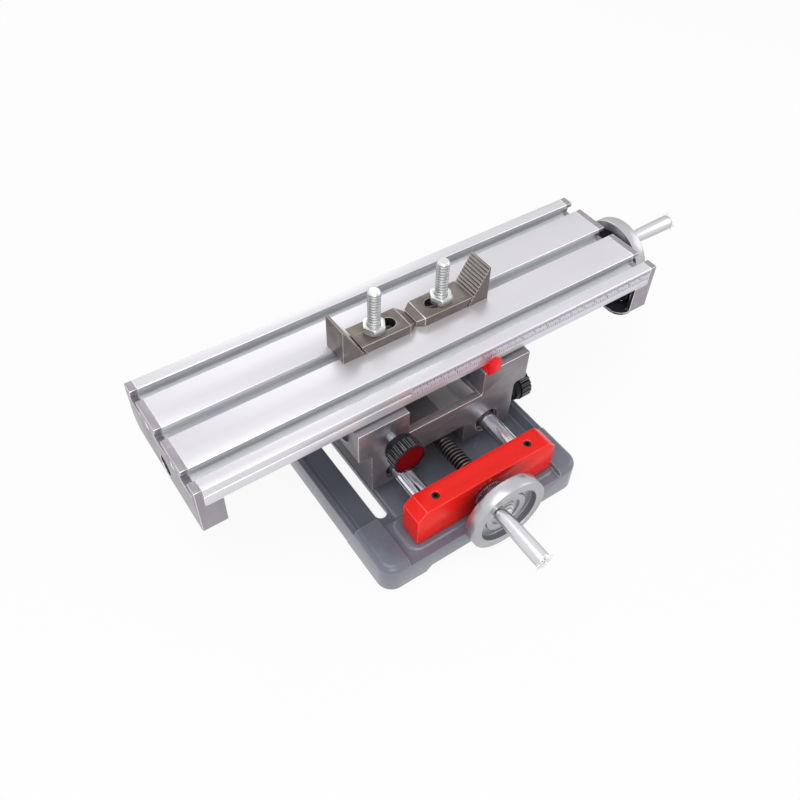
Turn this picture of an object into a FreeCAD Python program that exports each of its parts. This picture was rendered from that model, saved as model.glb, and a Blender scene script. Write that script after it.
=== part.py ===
"""Cross slide vise table: two crossed slides on guide rods, a T-slot table and a pair of step clamps.

Units are millimetres. The floor is z = 0 and +Z is up. The table's long travel is along X. The front
handwheel points along -Y. The saddle's centre plane is x = 0 and the table's centre line is y = 0.
"""
import FreeCAD, Part
import math
import os

os.makedirs("parts", exist_ok=True)

Vec = FreeCAD.Vector

# Table: an extruded plate between two end brackets
table_length = 330.0
table_width = 90.6
table_thickness = 13.5
table_offset = 7.0
slot_width = 8.4
slot_pitch = 33.0
slot_lip = 3.0
cavity_width = 13.8
cavity_height = 6.0
edge_groove_depth = 0.8
edge_groove_height = 0.9
edge_groove_drop = 5.6

# Printed scale on the front face of the table, reaching the right end bracket
strip_length = 190.7
strip_end_margin = 0.6
strip_top_drop = 0.8
strip_height = 7.2
strip_thickness = 0.3

# End brackets
plate_thickness = 4.7
bracket_height = 34.5
bracket_reach = 15.0
bracket_wall = 2.8
bracket_floor = 2.0
bracket_back_radius = 10.0
bracket_front_radius = 1.5
flange_reach = 25.0
flange_radius = 9.5
rod_boss_radius = 8.0
rod_boss_length = 7.0
bush_boss_radius = 8.2
bush_boss_length = 3.6
end_bore_radius = 6.6
bracket_screw_y = 16.5
bracket_screw_drop = 7.5
bracket_screw_radius = 1.6
bracket_screw_length = 12.0
bracket_head_radius = 2.6
bracket_head_height = 1.9
bracket_socket = 2.0
rod_end_cover = 1.5

# Long slide: two rods and a leadscrew carried by the table, running in the saddle
x_axis_rise = 14.0
x_rod_radius = 5.0
x_rod_y = 30.0

# Saddle: its heights add up from the short slide's axis to the ears under the table
saddle_overhang = 4.2
ear_half_width = 62.75
ear_top_gap = 2.0
ear_height = 23.3
ear_inner = 27.5
ear_rise = 19.1
recess_depth = 5.4
ear_overhang = 9.05
leg_drop = 9.8
notch_half_width = 16.0
notch_rise = 6.7
saddle_web = 4.0
leg_corner_radius = 2.5
saddle_edge_radius = 0.6
recess_corner_radius = 1.0
lip_thickness = 5.0
platform_edge = 1.5
pocket_depth = 12.0
pocket_right = 24.5
rod_counterbore_depth = 3.0
rod_counterbore_radius = 9.0
bush_radius = 8.0
x_bush_length = 12.0
y_bush_length = 8.0
rod_relief = 1.2
screw_passage_radius = 7.5

# Short slide: two rods and a leadscrew carried by the base, running in the saddle
y_axis_height = 32.3
y_rod_radius = 6.0
y_rod_x = 34.5
rod_block_cover = 2.2

# Front and rear blocks that hold the rods of the short slide
block_half_width = 51.7
front_block_reach = 94.7
block_thickness = 15.2
block_bottom = 18.5
block_top = 47.5
block_chamfer = 6.0
block_foot_chamfer = 2.0
rear_block_start = 72.5
grub_radius = 2.5
grub_recess = 0.4
grub_socket = 2.5
grub_socket_depth = 2.5
grub_point = 0.8
block_screw_x = 20.0
block_screw_radius = 3.0
block_screw_length = 19.0
block_screw_head_radius = 5.0
block_screw_head_height = 6.0
block_screw_recess = 0.6
block_screw_socket = 5.0

# Base casting
base_shift = 4.5
base_half_width = 74.5
front_wheel_clearance = 2.3
base_rear_apron = 10.3
base_corner_radius = 10.0
base_floor = 12.0
base_rim = 17.5
base_pad_top = 22.0
base_pad_width = 17.0
base_pad_length = 36.0
base_pad_corner = 6.0
base_rim_width = 3.5
base_slope = 4.0
plinth_half_width = 56.0
plinth_margin = 3.0
plinth_inner_margin = 7.0
plinth_corner = 7.0
step_half_width = 44.0
step_height = 1.2
base_slot_x = 49.9
base_slot_width = 8.0
base_slot_length = 122.0
underside_depth = 8.0
underside_wall = 7.0
underside_rib = 6.0
underside_boss = 9.0
arch_length = 82.0
arch_shift = 4.5
arch_height = 4.0
side_arch_margin = 43.0
side_arch_height = 1.0

# Leadscrews, with the crest and root of each ring groove as shares of the pitch
thread_radius = 5.5
thread_depth = 1.1
thread_pitch = 2.5
thread_crest_end = 0.35
thread_root_start = 0.5
thread_root_end = 0.85
rear_thread_margin = 1.0
journal_radius = 5.0
tail_radius = 4.0
screw_hole_radius = 2.2
screw_hole_depth = 12.0
shoulder_gap = 0.1
left_bush_recess = 3.0
left_bush_length = 6.0
tail_cover = 0.6
bush_flange_radius = 9.0
bush_flange_thickness = 1.5
rear_bush_radius = 6.5
rear_tail_length = 14.0

# Nuts that couple the slides to the leadscrews
x_nut_inset = 3.5
x_nut_length = 20.0
x_nut_half_width = 13.0
x_nut_height = 22.0
x_nut_screw_y = 9.6
y_nut_half_width = 11.0
y_nut_half_length = 12.0
y_nut_drop = 9.1
y_nut_screw_x = 7.0
y_nut_screw_y = 7.5
nut_screw_radius = 1.8
nut_screw_head_radius = 3.4
nut_screw_head_height = 2.6
nut_screw_bite = 6.0
nut_screw_socket = 3.0

# Dials and handwheels
dial_radius = 10.0
dial_edge = 0.5
dial_gap = 0.2
front_dial_length = 11.3
right_dial_length = 6.8
wheel_radius = 26.6
wheel_rim_inner = 20.3
wheel_width = 9.0
wheel_web_rear = 2.4
wheel_web_front = 4.2
wheel_ring_inner = 10.2
wheel_ring_outer = 14.6
wheel_ring_front = 5.8
wheel_hub_radius = 7.6
wheel_hub_front = 5.0
wheel_edge = 1.0
washer_radius = 5.6
washer_thickness = 0.9
hub_screw_head_radius = 4.0
hub_screw_head_height = 2.2
hub_screw_round = 1.2
hub_screw_end_gap = 2.0
cross_slot_length = 4.8
cross_slot_width = 0.9
cross_slot_depth = 1.4
hub_recess = 1.2

# Crank handles
handle_base = 6.3
handle_length = 41.8
handle_neck_radius = 3.45
handle_foot_gap = 0.3
handle_foot_width = 0.95
handle_edge = 0.3
handle_end_round = 0.8
handle_swell = ((5.5, 4.05), (12.0, 4.5), (21.0, 4.8), (31.0, 4.95))  # distance from the foot, radius
handle_end_radius = 4.85
handle_face_radius = 4.4
handle_bolt_radius = 2.4
handle_bolt_reach = 2.6
handle_head_radius = 3.5
handle_head_depth = 4.0
handle_head_stand = 0.7
handle_head_lobes = 10
handle_lobe_radius = 0.65
handle_lobe_depth = 1.0
front_handle_offset = (-9.9, 12.6)
right_handle_offset = (-6.0, 14.8)

# Lock knobs
knob_radius = 10.6
knob_length = 13.0
knob_skirt_radius = 9.6
knob_skirt_length = 5.0
knob_edge = 0.5
knob_cap_radius = 9.7
knob_cap_thickness = 1.2
stud_radius = 2.5
stud_bite = 6.0
front_lock_inset = 21.55
front_lock_drop = 12.2
front_lock_stand = 20.6
right_lock_inset = 14.5
right_lock_stand = 22.3
stud_collar = 0.4
stud_collar_gap = 0.5
stud_point = 0.5
knob_cap_sink = 0.3
lock_tip_gap = 0.3

# Pointer on the saddle
pointer_inset = 1.5
pointer_width = 9.3
pointer_shoulder_rise = 8.4
pointer_apex_rise = 12.4
pointer_apex_shift = 0.6
pointer_thickness = 1.5
pointer_drop = 1.4
pointer_foot = 1.2
pointer_foot_length = 12.0
pointer_apex_radius = 1.0
pointer_left_radius = 3.0
pointer_screw_setback = 8.0
pointer_screw_radius = 1.4
pointer_screw_head_radius = 2.3
pointer_screw_length = 7.0
pointer_screw_end_gap = 1.0
pointer_screw_slot_width = 0.6
pointer_screw_slot_depth = 0.5

# Step clamps: a strap lies between each step block and the place where the two straps meet
clamp_half_width = 9.3
strap_thickness = 6.6
strap_meeting = 163.6
strap_nose_gap = 0.8
left_strap_length = 35.9
right_strap_length = 36.3
step_base = 15.4
step_rise = 24.5
step_crest = 1.4
step_teeth = 12
step_tooth_depth = 0.9
step_valley_share = 0.75
strap_gap = 0.8
strap_nose_bevel = 5.0
strap_nose_height = 2.6
strap_nose_side = 3.6
strap_slot_width = 9.0
strap_slot_length = 19.5
left_slot_margin = 10.5
right_slot_margin = 11.3
left_bolt_inset = 4.8
right_bolt_inset = 8.2
bolt_radius = 4.0
bolt_stand = 36.5
bolt_pitch = 1.25
bolt_thread_depth = 0.65
bolt_head_length = 13.2
bolt_head_width = 13.2
bolt_head_height = 5.2
bolt_neck_width = 8.0
bolt_neck_drop = 1.0
bolt_plain_stand = 4.0
bolt_point = 0.8
nut_across_flats = 13.0
nut_height = 5.0
nut_chamfer_width = 0.7
nut_chamfer_height = 0.8

# Clearances and small edges shared by the screws
running_gap = 0.05
arc_slack = 0.001
screw_edge = 0.3
screw_point = 0.4
socket_share = 0.6
head_sink = 0.2
screw_end_gap = 1.0
block_screw_gap = 0.2
block_screw_head_gap = 0.3

# Derived places
base_centre = -base_shift
block_front = -front_block_reach
table_left = table_offset - table_length / 2
table_right = table_offset + table_length / 2
table_half = table_width / 2
saddle_half_depth = table_half + saddle_overhang
leg_half_width = ear_half_width - ear_overhang
leg_bottom = y_axis_height - leg_drop
notch_top = y_axis_height + notch_rise
pocket_floor = notch_top + saddle_web
platform_top = pocket_floor + pocket_depth
recess_floor = platform_top + recess_depth
ear_top = recess_floor + ear_rise
ear_bottom = ear_top - ear_height
table_underside = ear_top + ear_top_gap
table_height = table_underside + table_thickness
cavity_top = table_height - slot_lip
cavity_floor = cavity_top - cavity_height
bracket_bottom = table_height - bracket_height
x_axis_height = platform_top + x_axis_rise
y_nut_bottom = y_axis_height - y_nut_drop
x_nut_top = platform_top + x_nut_height
pointer_shoulder = ear_top + pointer_shoulder_rise
pointer_apex = ear_top + pointer_apex_rise
front_lock_x = front_lock_inset - ear_half_width
front_lock_height = ear_top - front_lock_drop
front_lock_face = -saddle_half_depth - front_lock_stand
right_lock_y = right_lock_inset - saddle_half_depth
right_lock_face = leg_half_width + right_lock_stand
pointer_left = ear_inner + pointer_inset
x_nut_left = x_nut_inset - ear_inner
block_back = block_front + block_thickness
block_middle = block_front + block_thickness / 2
rear_block_end = rear_block_start + block_thickness
rear_block_middle = rear_block_start + block_thickness / 2
base_left = base_centre - base_half_width
base_right = base_centre + base_half_width
front_wheel_rear = block_front - dial_gap - front_dial_length
base_front = front_wheel_rear + front_wheel_clearance
base_rear = rear_block_end + base_rear_apron
base_middle = (base_front + base_rear) / 2
arch_left = base_centre - arch_shift - arch_length / 2
right_wheel_rear = table_right + dial_gap + right_dial_length
right_bush_start = table_right - plate_thickness - bush_boss_length
wheel_journal_reach = wheel_hub_front - hub_recess


def box(x0, x1, y0, y1, z0, z1):
    """Axis-aligned block between three pairs of coordinates."""
    return Part.makeBox(x1 - x0, y1 - y0, z1 - z0, Vec(x0, y0, z0))


def rod(axis, at, radius, start, end):
    """Round bar along an axis; `at` holds its two other coordinates in x, y, z order."""
    if axis == "x":
        return Part.makeCylinder(radius, end - start, Vec(start, at[0], at[1]), Vec(1, 0, 0))
    if axis == "y":
        return Part.makeCylinder(radius, end - start, Vec(at[0], start, at[1]), Vec(0, 1, 0))
    return Part.makeCylinder(radius, end - start, Vec(at[0], at[1], start), Vec(0, 0, 1))


def tube(axis, at, outer, inner, start, end):
    """Round bar with a hole along its whole length."""
    return rod(axis, at, outer, start, end).cut(rod(axis, at, inner, start, end))


def fused(shapes):
    """One solid from several that touch or overlap."""
    result = shapes[0]
    for shape in shapes[1:]:
        result = result.fuse(shape)
    return result.removeSplitter()


def minus(shape, tools):
    """The shape with every tool cut from it."""
    for tool in tools:
        shape = shape.cut(tool)
    return shape


def outline(points, radii):
    """Closed flat wire through the points, with each corner rounded by its own radius."""
    count = len(points)
    edges = []
    corners = []
    for index, point in enumerate(points):
        radius = radii[index]
        if radius == 0:
            corners.append((point, point, None))
            continue
        before = (points[index - 1] - point).normalize()
        after = (points[(index + 1) % count] - point).normalize()
        half = before.getAngle(after) / 2
        reach = radius / math.tan(half)
        bisector = (before + after).normalize()
        middle = point + bisector * (radius / math.sin(half) - radius)
        corners.append((point + before * reach, point + after * reach, middle))
    for index, (start, end, middle) in enumerate(corners):
        if middle is not None:
            edges.append(Part.Arc(start, middle, end).toShape())
        following = corners[(index + 1) % count][0]
        if end.distanceToPoint(following) > 1e-7:
            edges.append(Part.makeLine(end, following))
    return Part.Wire(edges)


def prism(axis, points, start, end, radii=None):
    """Flat outline pushed along an axis; points hold the two other coordinates in x, y, z order."""
    lifted = {
        "x": lambda a, b: Vec(start, a, b),
        "y": lambda a, b: Vec(a, start, b),
        "z": lambda a, b: Vec(a, b, start),
    }[axis]
    reach = {"x": Vec(end - start, 0, 0), "y": Vec(0, end - start, 0), "z": Vec(0, 0, end - start)}[axis]
    corners = [lifted(a, b) for a, b in points]
    wire = outline(corners, radii or [0] * len(corners))
    return Part.Face(wire).extrude(reach)


def rounded_slab(x0, x1, y0, y1, z0, z1, radius):
    """Flat block with its four upright corners rounded."""
    return prism("z", [(x0, y0), (x1, y0), (x1, y1), (x0, y1)], z0, z1, [radius] * 4)


def turned(profile, origin, direction):
    """Round piece from (radius, distance) points; distance runs along `direction` from `origin`."""
    side = Vec(0, 0, 1) if abs(direction.z) < 0.5 else Vec(1, 0, 0)
    corners = [origin + side * radius + direction * along for radius, along in profile]
    wire = Part.makePolygon(corners + [corners[0]])
    return Part.Face(wire).revolve(origin, direction, 360)


def hexagon(across_flats, origin, direction, length):
    """Six-sided bar that starts at `origin` and runs along `direction`."""
    radius = across_flats / math.sqrt(3)
    side = Vec(0, 0, 1) if abs(direction.z) < 0.5 else Vec(1, 0, 0)
    other = direction.cross(side)
    corners = []
    for index in range(6):
        angle = math.radians(60 * index)
        corners.append(origin + side * (radius * math.cos(angle)) + other * (radius * math.sin(angle)))
    wire = Part.makePolygon(corners + [corners[0]])
    return Part.Face(wire).extrude(direction * length)


def grooves(start, end, pitch, crest_radius, depth):
    """(radius, distance) points of a row of ring grooves that stands for a thread."""
    points = []
    count = int((end - start) / pitch)
    for index in range(count):
        along = start + index * pitch
        points.append((crest_radius, along))
        points.append((crest_radius, along + thread_crest_end * pitch))
        points.append((crest_radius - depth, along + thread_root_start * pitch))
        points.append((crest_radius - depth, along + thread_root_end * pitch))
    points.append((crest_radius, start + count * pitch))
    points.append((crest_radius, end))
    return points


def mirrored(shape, x):
    """The shape reflected in the upright plane at x."""
    return shape.mirror(Vec(x, 0, 0), Vec(1, 0, 0))


def rounded_top(shape, height, radius):
    """The shape with every edge of its top face at `height` rounded."""
    chosen = []
    for edge in shape.Edges:
        bounds = edge.BoundBox
        if abs(bounds.ZMin - height) < 1e-6 and abs(bounds.ZMax - height) < 1e-6:
            chosen.append(edge)
    return shape.makeFillet(radius, chosen)


def save(name, shape):
    """Write one named piece to the parts folder."""
    if not shape.isValid():
        raise ValueError(name + " isn't a valid shape")
    shape.exportStep("parts/" + name + ".step")


def t_slots(start, end):
    """The three T-slots as solids between two places along the table."""
    tools = []
    for index in (-1, 0, 1):
        middle = index * slot_pitch
        throat = box(start, end, middle - slot_width / 2, middle + slot_width / 2, cavity_floor,
                     table_height + 1)
        cavity = box(start, end, middle - cavity_width / 2, middle + cavity_width / 2, cavity_floor,
                     cavity_top)
        tools.append(throat.fuse(cavity).removeSplitter())
    return tools


def bracket_screw_places():
    """Side and depth of each small screw through the end brackets."""
    height = table_height - bracket_screw_drop
    return [(side * bracket_screw_y, height) for side in (-1, 1)]


def table_plate():
    """Extruded table with its T-slots, edge grooves and end screw holes."""
    start = table_left + plate_thickness
    end = table_right - plate_thickness
    plate = box(start, end, -table_half, table_half, table_underside, table_height)
    groove_top = table_height - edge_groove_drop
    groove_bottom = groove_top - edge_groove_height
    tools = t_slots(start - 1, end + 1)
    for side in (-1, 1):
        outer = side * (table_half + 1)
        inner = side * (table_half - edge_groove_depth)
        low = min(outer, inner)
        high = max(outer, inner)
        tools.append(box(start - 1, end + 1, low, high, groove_bottom, groove_top))
    depth = bracket_screw_length - plate_thickness + bracket_head_height
    for place in bracket_screw_places():
        tools.append(rod("x", place, bracket_screw_radius, start, start + depth))
        tools.append(rod("x", place, bracket_screw_radius, end - depth, end))
    return minus(plate, tools)


def left_bracket():
    """Left end bracket: a notched plate with a shallow skirt below the table."""
    face = table_left
    inner = face + plate_thickness
    skirt = face + bracket_reach
    edge = [(-table_half, bracket_bottom), (table_half, bracket_bottom), (table_half, table_height),
            (-table_half, table_height)]
    radii = [bracket_front_radius, bracket_back_radius, 0, 0]
    plate = prism("x", edge, face, inner, radii)
    low_edge = [(-table_half, bracket_bottom), (table_half, bracket_bottom),
                (table_half, table_underside), (-table_half, table_underside)]
    hollow_edge = [(-table_half + bracket_wall, bracket_bottom + bracket_floor),
                   (table_half - bracket_wall, bracket_bottom + bracket_floor),
                   (table_half - bracket_wall, table_underside + 1),
                   (-table_half + bracket_wall, table_underside + 1)]
    hollow_radii = [0, bracket_back_radius - bracket_wall, 0, 0]
    skirt_solid = prism("x", low_edge, inner, skirt, radii)
    hollow = prism("x", hollow_edge, inner, skirt + 1, hollow_radii)
    pieces = [plate, skirt_solid.cut(hollow)]
    for side in (-1, 1):
        at = (side * x_rod_y, x_axis_height)
        pieces.append(rod("x", at, rod_boss_radius, inner - 1, inner + rod_boss_length))
    pieces.append(rod("x", (0, x_axis_height), bush_boss_radius, inner - 1, inner + bush_boss_length))
    body = fused(pieces)
    tools = t_slots(face - 1, inner + 1)
    tools.append(rod("x", (0, x_axis_height), end_bore_radius, face - 1, skirt))
    for side in (-1, 1):
        at = (side * x_rod_y, x_axis_height)
        tools.append(rod("x", at, x_rod_radius, face + rod_end_cover, skirt))
    for place in bracket_screw_places():
        tools.append(rod("x", place, bracket_screw_radius, face - 1, inner + 1))
        tools.append(rod("x", place, bracket_head_radius, face - 1, face + bracket_head_height))
    return minus(body, tools)


def right_bracket():
    """Right end bracket: the left one reflected, with a wider foot flange."""
    body = mirrored(left_bracket(), table_offset)
    flange_end = table_right - flange_reach
    corners = [(table_right - plate_thickness, -table_half), (table_right - plate_thickness, table_half),
               (flange_end, table_half), (flange_end, -table_half)]
    flange = prism("z", corners, bracket_bottom, bracket_bottom + bracket_floor,
                   [0, 0, flange_radius, flange_radius])
    clear = box(flange_end - 1, table_right, table_half - bracket_back_radius, table_half + 1,
                bracket_bottom - 1, bracket_bottom + bracket_floor + 1)
    keep = box(table_right - bracket_reach, table_right, -table_half - 1, table_half + 1,
               bracket_bottom - 1, table_height + 1)
    reach = flange.cut(clear)
    reach = reach.cut(keep)
    return fused([body, reach])


def screw_with_socket(origin, direction, shank, length, head, height, socket):
    """Cap screw whose shank starts at `origin` and runs along `direction`, with its head behind."""
    profile = [(0, -height), (head - screw_edge, -height), (head, screw_edge - height), (head, 0),
               (shank, 0), (shank, length - screw_point), (shank - screw_point, length), (0, length)]
    body = turned(profile, origin, direction)
    hole = hexagon(socket, origin - direction * height, direction, height * socket_share)
    return body.cut(hole)


def bracket_screws():
    """Four small cap screws that hold the end brackets to the table."""
    screws = []
    for place in bracket_screw_places():
        for face, direction in ((table_left, 1), (table_right, -1)):
            origin = Vec(face + direction * bracket_head_height, place[0], place[1])
            screws.append(screw_with_socket(origin, Vec(direction, 0, 0), bracket_screw_radius,
                                            bracket_screw_length - bracket_head_height,
                                            bracket_head_radius, bracket_head_height - head_sink,
                                            bracket_socket))
    return Part.Compound(screws)


def x_rod(side):
    """Guide rod of the long slide; side -1 is the front one."""
    return rod("x", (side * x_rod_y, x_axis_height), x_rod_radius, table_left + rod_end_cover,
               table_right - rod_end_cover)


def left_bush():
    """Plain bush for the leadscrew's tail in the left bracket."""
    start = table_left + left_bush_recess
    return tube("x", (0, x_axis_height), end_bore_radius, tail_radius + running_gap, start,
                start + left_bush_length)


def right_bush():
    """Plain bush for the leadscrew's journal in the right bracket."""
    return tube("x", (0, x_axis_height), end_bore_radius, journal_radius + running_gap, right_bush_start,
                table_right)


def front_bush():
    """Flanged bush for the leadscrew's journal in the front block."""
    bore = journal_radius + running_gap
    profile = [(bore, -bush_flange_thickness), (bush_flange_radius, -bush_flange_thickness),
               (bush_flange_radius, 0), (end_bore_radius, 0), (end_bore_radius, block_thickness),
               (bore, block_thickness)]
    return turned(profile, Vec(0, block_back, y_axis_height), Vec(0, -1, 0))


def rear_bush():
    """Plain bush for the leadscrew's tail in the rear block."""
    return tube("y", (0, y_axis_height), rear_bush_radius, tail_radius + running_gap, rear_block_start,
                rear_block_end)


def scale_strip():
    """Thin printed scale on the table's front face."""
    high = table_height - strip_top_drop
    end = table_right - plate_thickness - strip_end_margin
    return box(end - strip_length, end, -table_half - strip_thickness, -table_half, high - strip_height,
               high)


def leadscrew(origin, direction, thread_start, thread_end, journal_end, tail_end):
    """Leadscrew with a plain journal towards the handwheel and a thinner tail.

    Distances run from `origin` along `direction`, which points to the handwheel.
    """
    profile = [(0, tail_end), (tail_radius, tail_end), (tail_radius, thread_start)]
    profile += grooves(thread_start, thread_end, thread_pitch, thread_radius, thread_depth)
    profile += [(journal_radius, thread_end), (journal_radius, journal_end), (0, journal_end)]
    body = turned(profile, origin, direction)
    start = origin + direction * (journal_end - screw_hole_depth)
    return body.cut(Part.makeCylinder(screw_hole_radius, screw_hole_depth, start, direction))


def x_screw():
    """Leadscrew of the long slide."""
    bush_inner = table_left + left_bush_recess + left_bush_length
    return leadscrew(Vec(0, 0, x_axis_height), Vec(1, 0, 0), bush_inner + shoulder_gap,
                     right_bush_start - shoulder_gap, right_wheel_rear + wheel_journal_reach,
                     table_left + left_bush_recess + tail_cover)


def y_screw():
    """Leadscrew of the short slide."""
    flange = -block_back - bush_flange_thickness
    return leadscrew(Vec(0, 0, y_axis_height), Vec(0, -1, 0), rear_thread_margin - rear_block_start,
                     flange - shoulder_gap, wheel_journal_reach - front_wheel_rear,
                     -rear_block_start - rear_tail_length)


def dial(origin, direction, length):
    """Graduated collar; `origin` is its end away from the handwheel."""
    profile = [(journal_radius, 0), (dial_radius - dial_edge, 0), (dial_radius, dial_edge),
               (dial_radius, length), (journal_radius, length)]
    return turned(profile, origin, direction)


def handle_axis(offset, origin, direction):
    """Place on the wheel's rear plane where a crank handle stands."""
    first = Vec(1, 0, 0) if abs(direction.y) > 0.5 else Vec(0, 1, 0)
    return origin + first * offset[0] + Vec(0, 0, 1) * offset[1]


def handwheel(origin, direction, offset):
    """Turned handwheel with a recessed web, a raised ring and a boss for the handle."""
    rim = wheel_radius
    edge = wheel_edge
    bore = journal_radius
    profile = [(bore, 0), (wheel_hub_radius, 0), (wheel_hub_radius, wheel_web_rear),
               (wheel_rim_inner, wheel_web_rear), (wheel_rim_inner, 0), (rim - edge, 0),
               (rim, edge), (rim, wheel_width - edge), (rim - edge, wheel_width),
               (wheel_rim_inner, wheel_width), (wheel_rim_inner, wheel_web_front),
               (wheel_ring_outer, wheel_web_front), (wheel_ring_outer, wheel_ring_front),
               (wheel_ring_inner, wheel_ring_front), (wheel_ring_inner, wheel_web_front),
               (wheel_hub_radius, wheel_web_front), (wheel_hub_radius, wheel_hub_front),
               (bore, wheel_hub_front)]
    wheel = turned(profile, origin, direction)
    foot = handle_axis(offset, origin, direction)
    boss_end = handle_base - handle_foot_gap
    boss = Part.makeCylinder(handle_neck_radius + handle_foot_width, boss_end - wheel_web_rear,
                             foot + direction * wheel_web_rear, direction)
    hole = Part.makeCylinder(handle_bolt_radius, boss_end, foot + direction * handle_bolt_reach,
                             direction)
    return wheel.fuse(boss).removeSplitter().cut(hole)


def hub_screw(origin, direction):
    """Pan head screw and washer that hold the wheel on the leadscrew."""
    seat = wheel_hub_front
    washer = seat + washer_thickness
    top = washer + hub_screw_head_height
    shank_end = wheel_journal_reach - screw_hole_depth + hub_screw_end_gap
    profile = [(0, top), (hub_screw_head_radius - hub_screw_round, top),
               (hub_screw_head_radius, top - hub_screw_round),
               (hub_screw_head_radius, washer), (washer_radius, washer), (washer_radius, seat),
               (screw_hole_radius, seat), (screw_hole_radius, shank_end), (0, shank_end)]
    body = turned(profile, origin, direction)
    upright = Vec(0, 0, 1)
    for arm in (upright, direction.cross(upright)):
        long_side = arm * cross_slot_length
        short_side = direction.cross(arm) * cross_slot_width
        corner = origin + direction * (top - cross_slot_depth) - (long_side + short_side) * 0.5
        corners = [corner, corner + long_side, corner + long_side + short_side, corner + short_side]
        floor = Part.Face(Part.makePolygon(corners + [corners[0]]))
        body = body.cut(floor.extrude(direction * (cross_slot_depth + 1)))
    return body


def handle_bolt(origin, direction, offset):
    """Bolt through the grip, with a lobed head at the far end."""
    foot = handle_axis(offset, origin, direction)
    far = handle_base + handle_length
    under = far - handle_head_depth
    top = far + handle_head_stand
    profile = [(0, handle_bolt_reach), (handle_bolt_radius, handle_bolt_reach),
               (handle_bolt_radius, under), (handle_head_radius, under),
               (handle_head_radius, top - handle_edge), (handle_head_radius - handle_edge, top), (0, top)]
    body = turned(profile, foot, direction)
    side = Vec(0, 0, 1)
    other = direction.cross(side)
    for index in range(handle_head_lobes):
        angle = 2 * math.pi * index / handle_head_lobes
        spot = side * math.cos(angle) + other * math.sin(angle)
        start = foot + spot * handle_head_radius + direction * (far - handle_lobe_depth)
        body = body.cut(Part.makeCylinder(handle_lobe_radius, handle_lobe_depth + handle_head_stand + 1,
                                          start, direction))
    return body


def handle_grip(origin, direction, offset):
    """Tapered grip that turns on its bolt."""
    foot = handle_axis(offset, origin, direction)
    far = handle_base + handle_length
    bore = handle_bolt_radius + running_gap
    head = handle_head_radius + running_gap
    under = far - handle_head_depth - running_gap
    side = [(radius, handle_base + distance) for distance, radius in handle_swell]
    profile = ([(bore, handle_base), (handle_neck_radius - handle_edge, handle_base),
                (handle_neck_radius, handle_base + handle_edge)] + side +
               [(handle_end_radius, far - handle_end_round), (handle_face_radius, far), (head, far),
                (head, under), (bore, under)])
    return turned(profile, foot, direction)


def drive_set(prefix, dial_origin, dial_length, direction, offset):
    """Write the dial, wheel, screw, bolt and grip at the outer end of one leadscrew."""
    wheel_origin = dial_origin + direction * dial_length
    save(prefix + "_dial", dial(dial_origin, direction, dial_length))
    save(prefix + "_handwheel", handwheel(wheel_origin, direction, offset))
    save(prefix + "_hub_screw", hub_screw(wheel_origin, direction))
    save(prefix + "_handle_bolt", handle_bolt(wheel_origin, direction, offset))
    save(prefix + "_handle_grip", handle_grip(wheel_origin, direction, offset))


def rod_passage(axis, at, rod_radius, outer, bush_length):
    """Bores for one guide rod through the saddle: counterbores, bush seats and a relieved middle."""
    seat = outer - rod_counterbore_depth
    shapes = [rod(axis, at, rod_radius + rod_relief, -outer - 1, outer + 1)]
    for side in (-1, 1):
        span = sorted((side * seat, side * (outer + 1)))
        shapes.append(rod(axis, at, rod_counterbore_radius, span[0], span[1]))
        span = sorted((side * (seat - bush_length), side * seat))
        shapes.append(rod(axis, at, bush_radius, span[0], span[1]))
    return fused(shapes)


def rod_bush(axis, at, rod_radius, outer, bush_length, side):
    """Bush pressed into one end of a guide rod's passage."""
    seat = outer - rod_counterbore_depth
    span = sorted((side * (seat - bush_length), side * seat))
    return tube(axis, at, bush_radius, rod_radius + running_gap, span[0], span[1])


def x_nut_screw_places():
    """Centres of the two screws through the long slide's nut."""
    middle = x_nut_left + x_nut_length / 2
    return [(middle, side * x_nut_screw_y) for side in (-1, 1)]


def y_nut_screw_places():
    """Centres of the two screws through the short slide's nut."""
    return [(y_nut_screw_x, side * y_nut_screw_y) for side in (-1, 1)]


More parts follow.
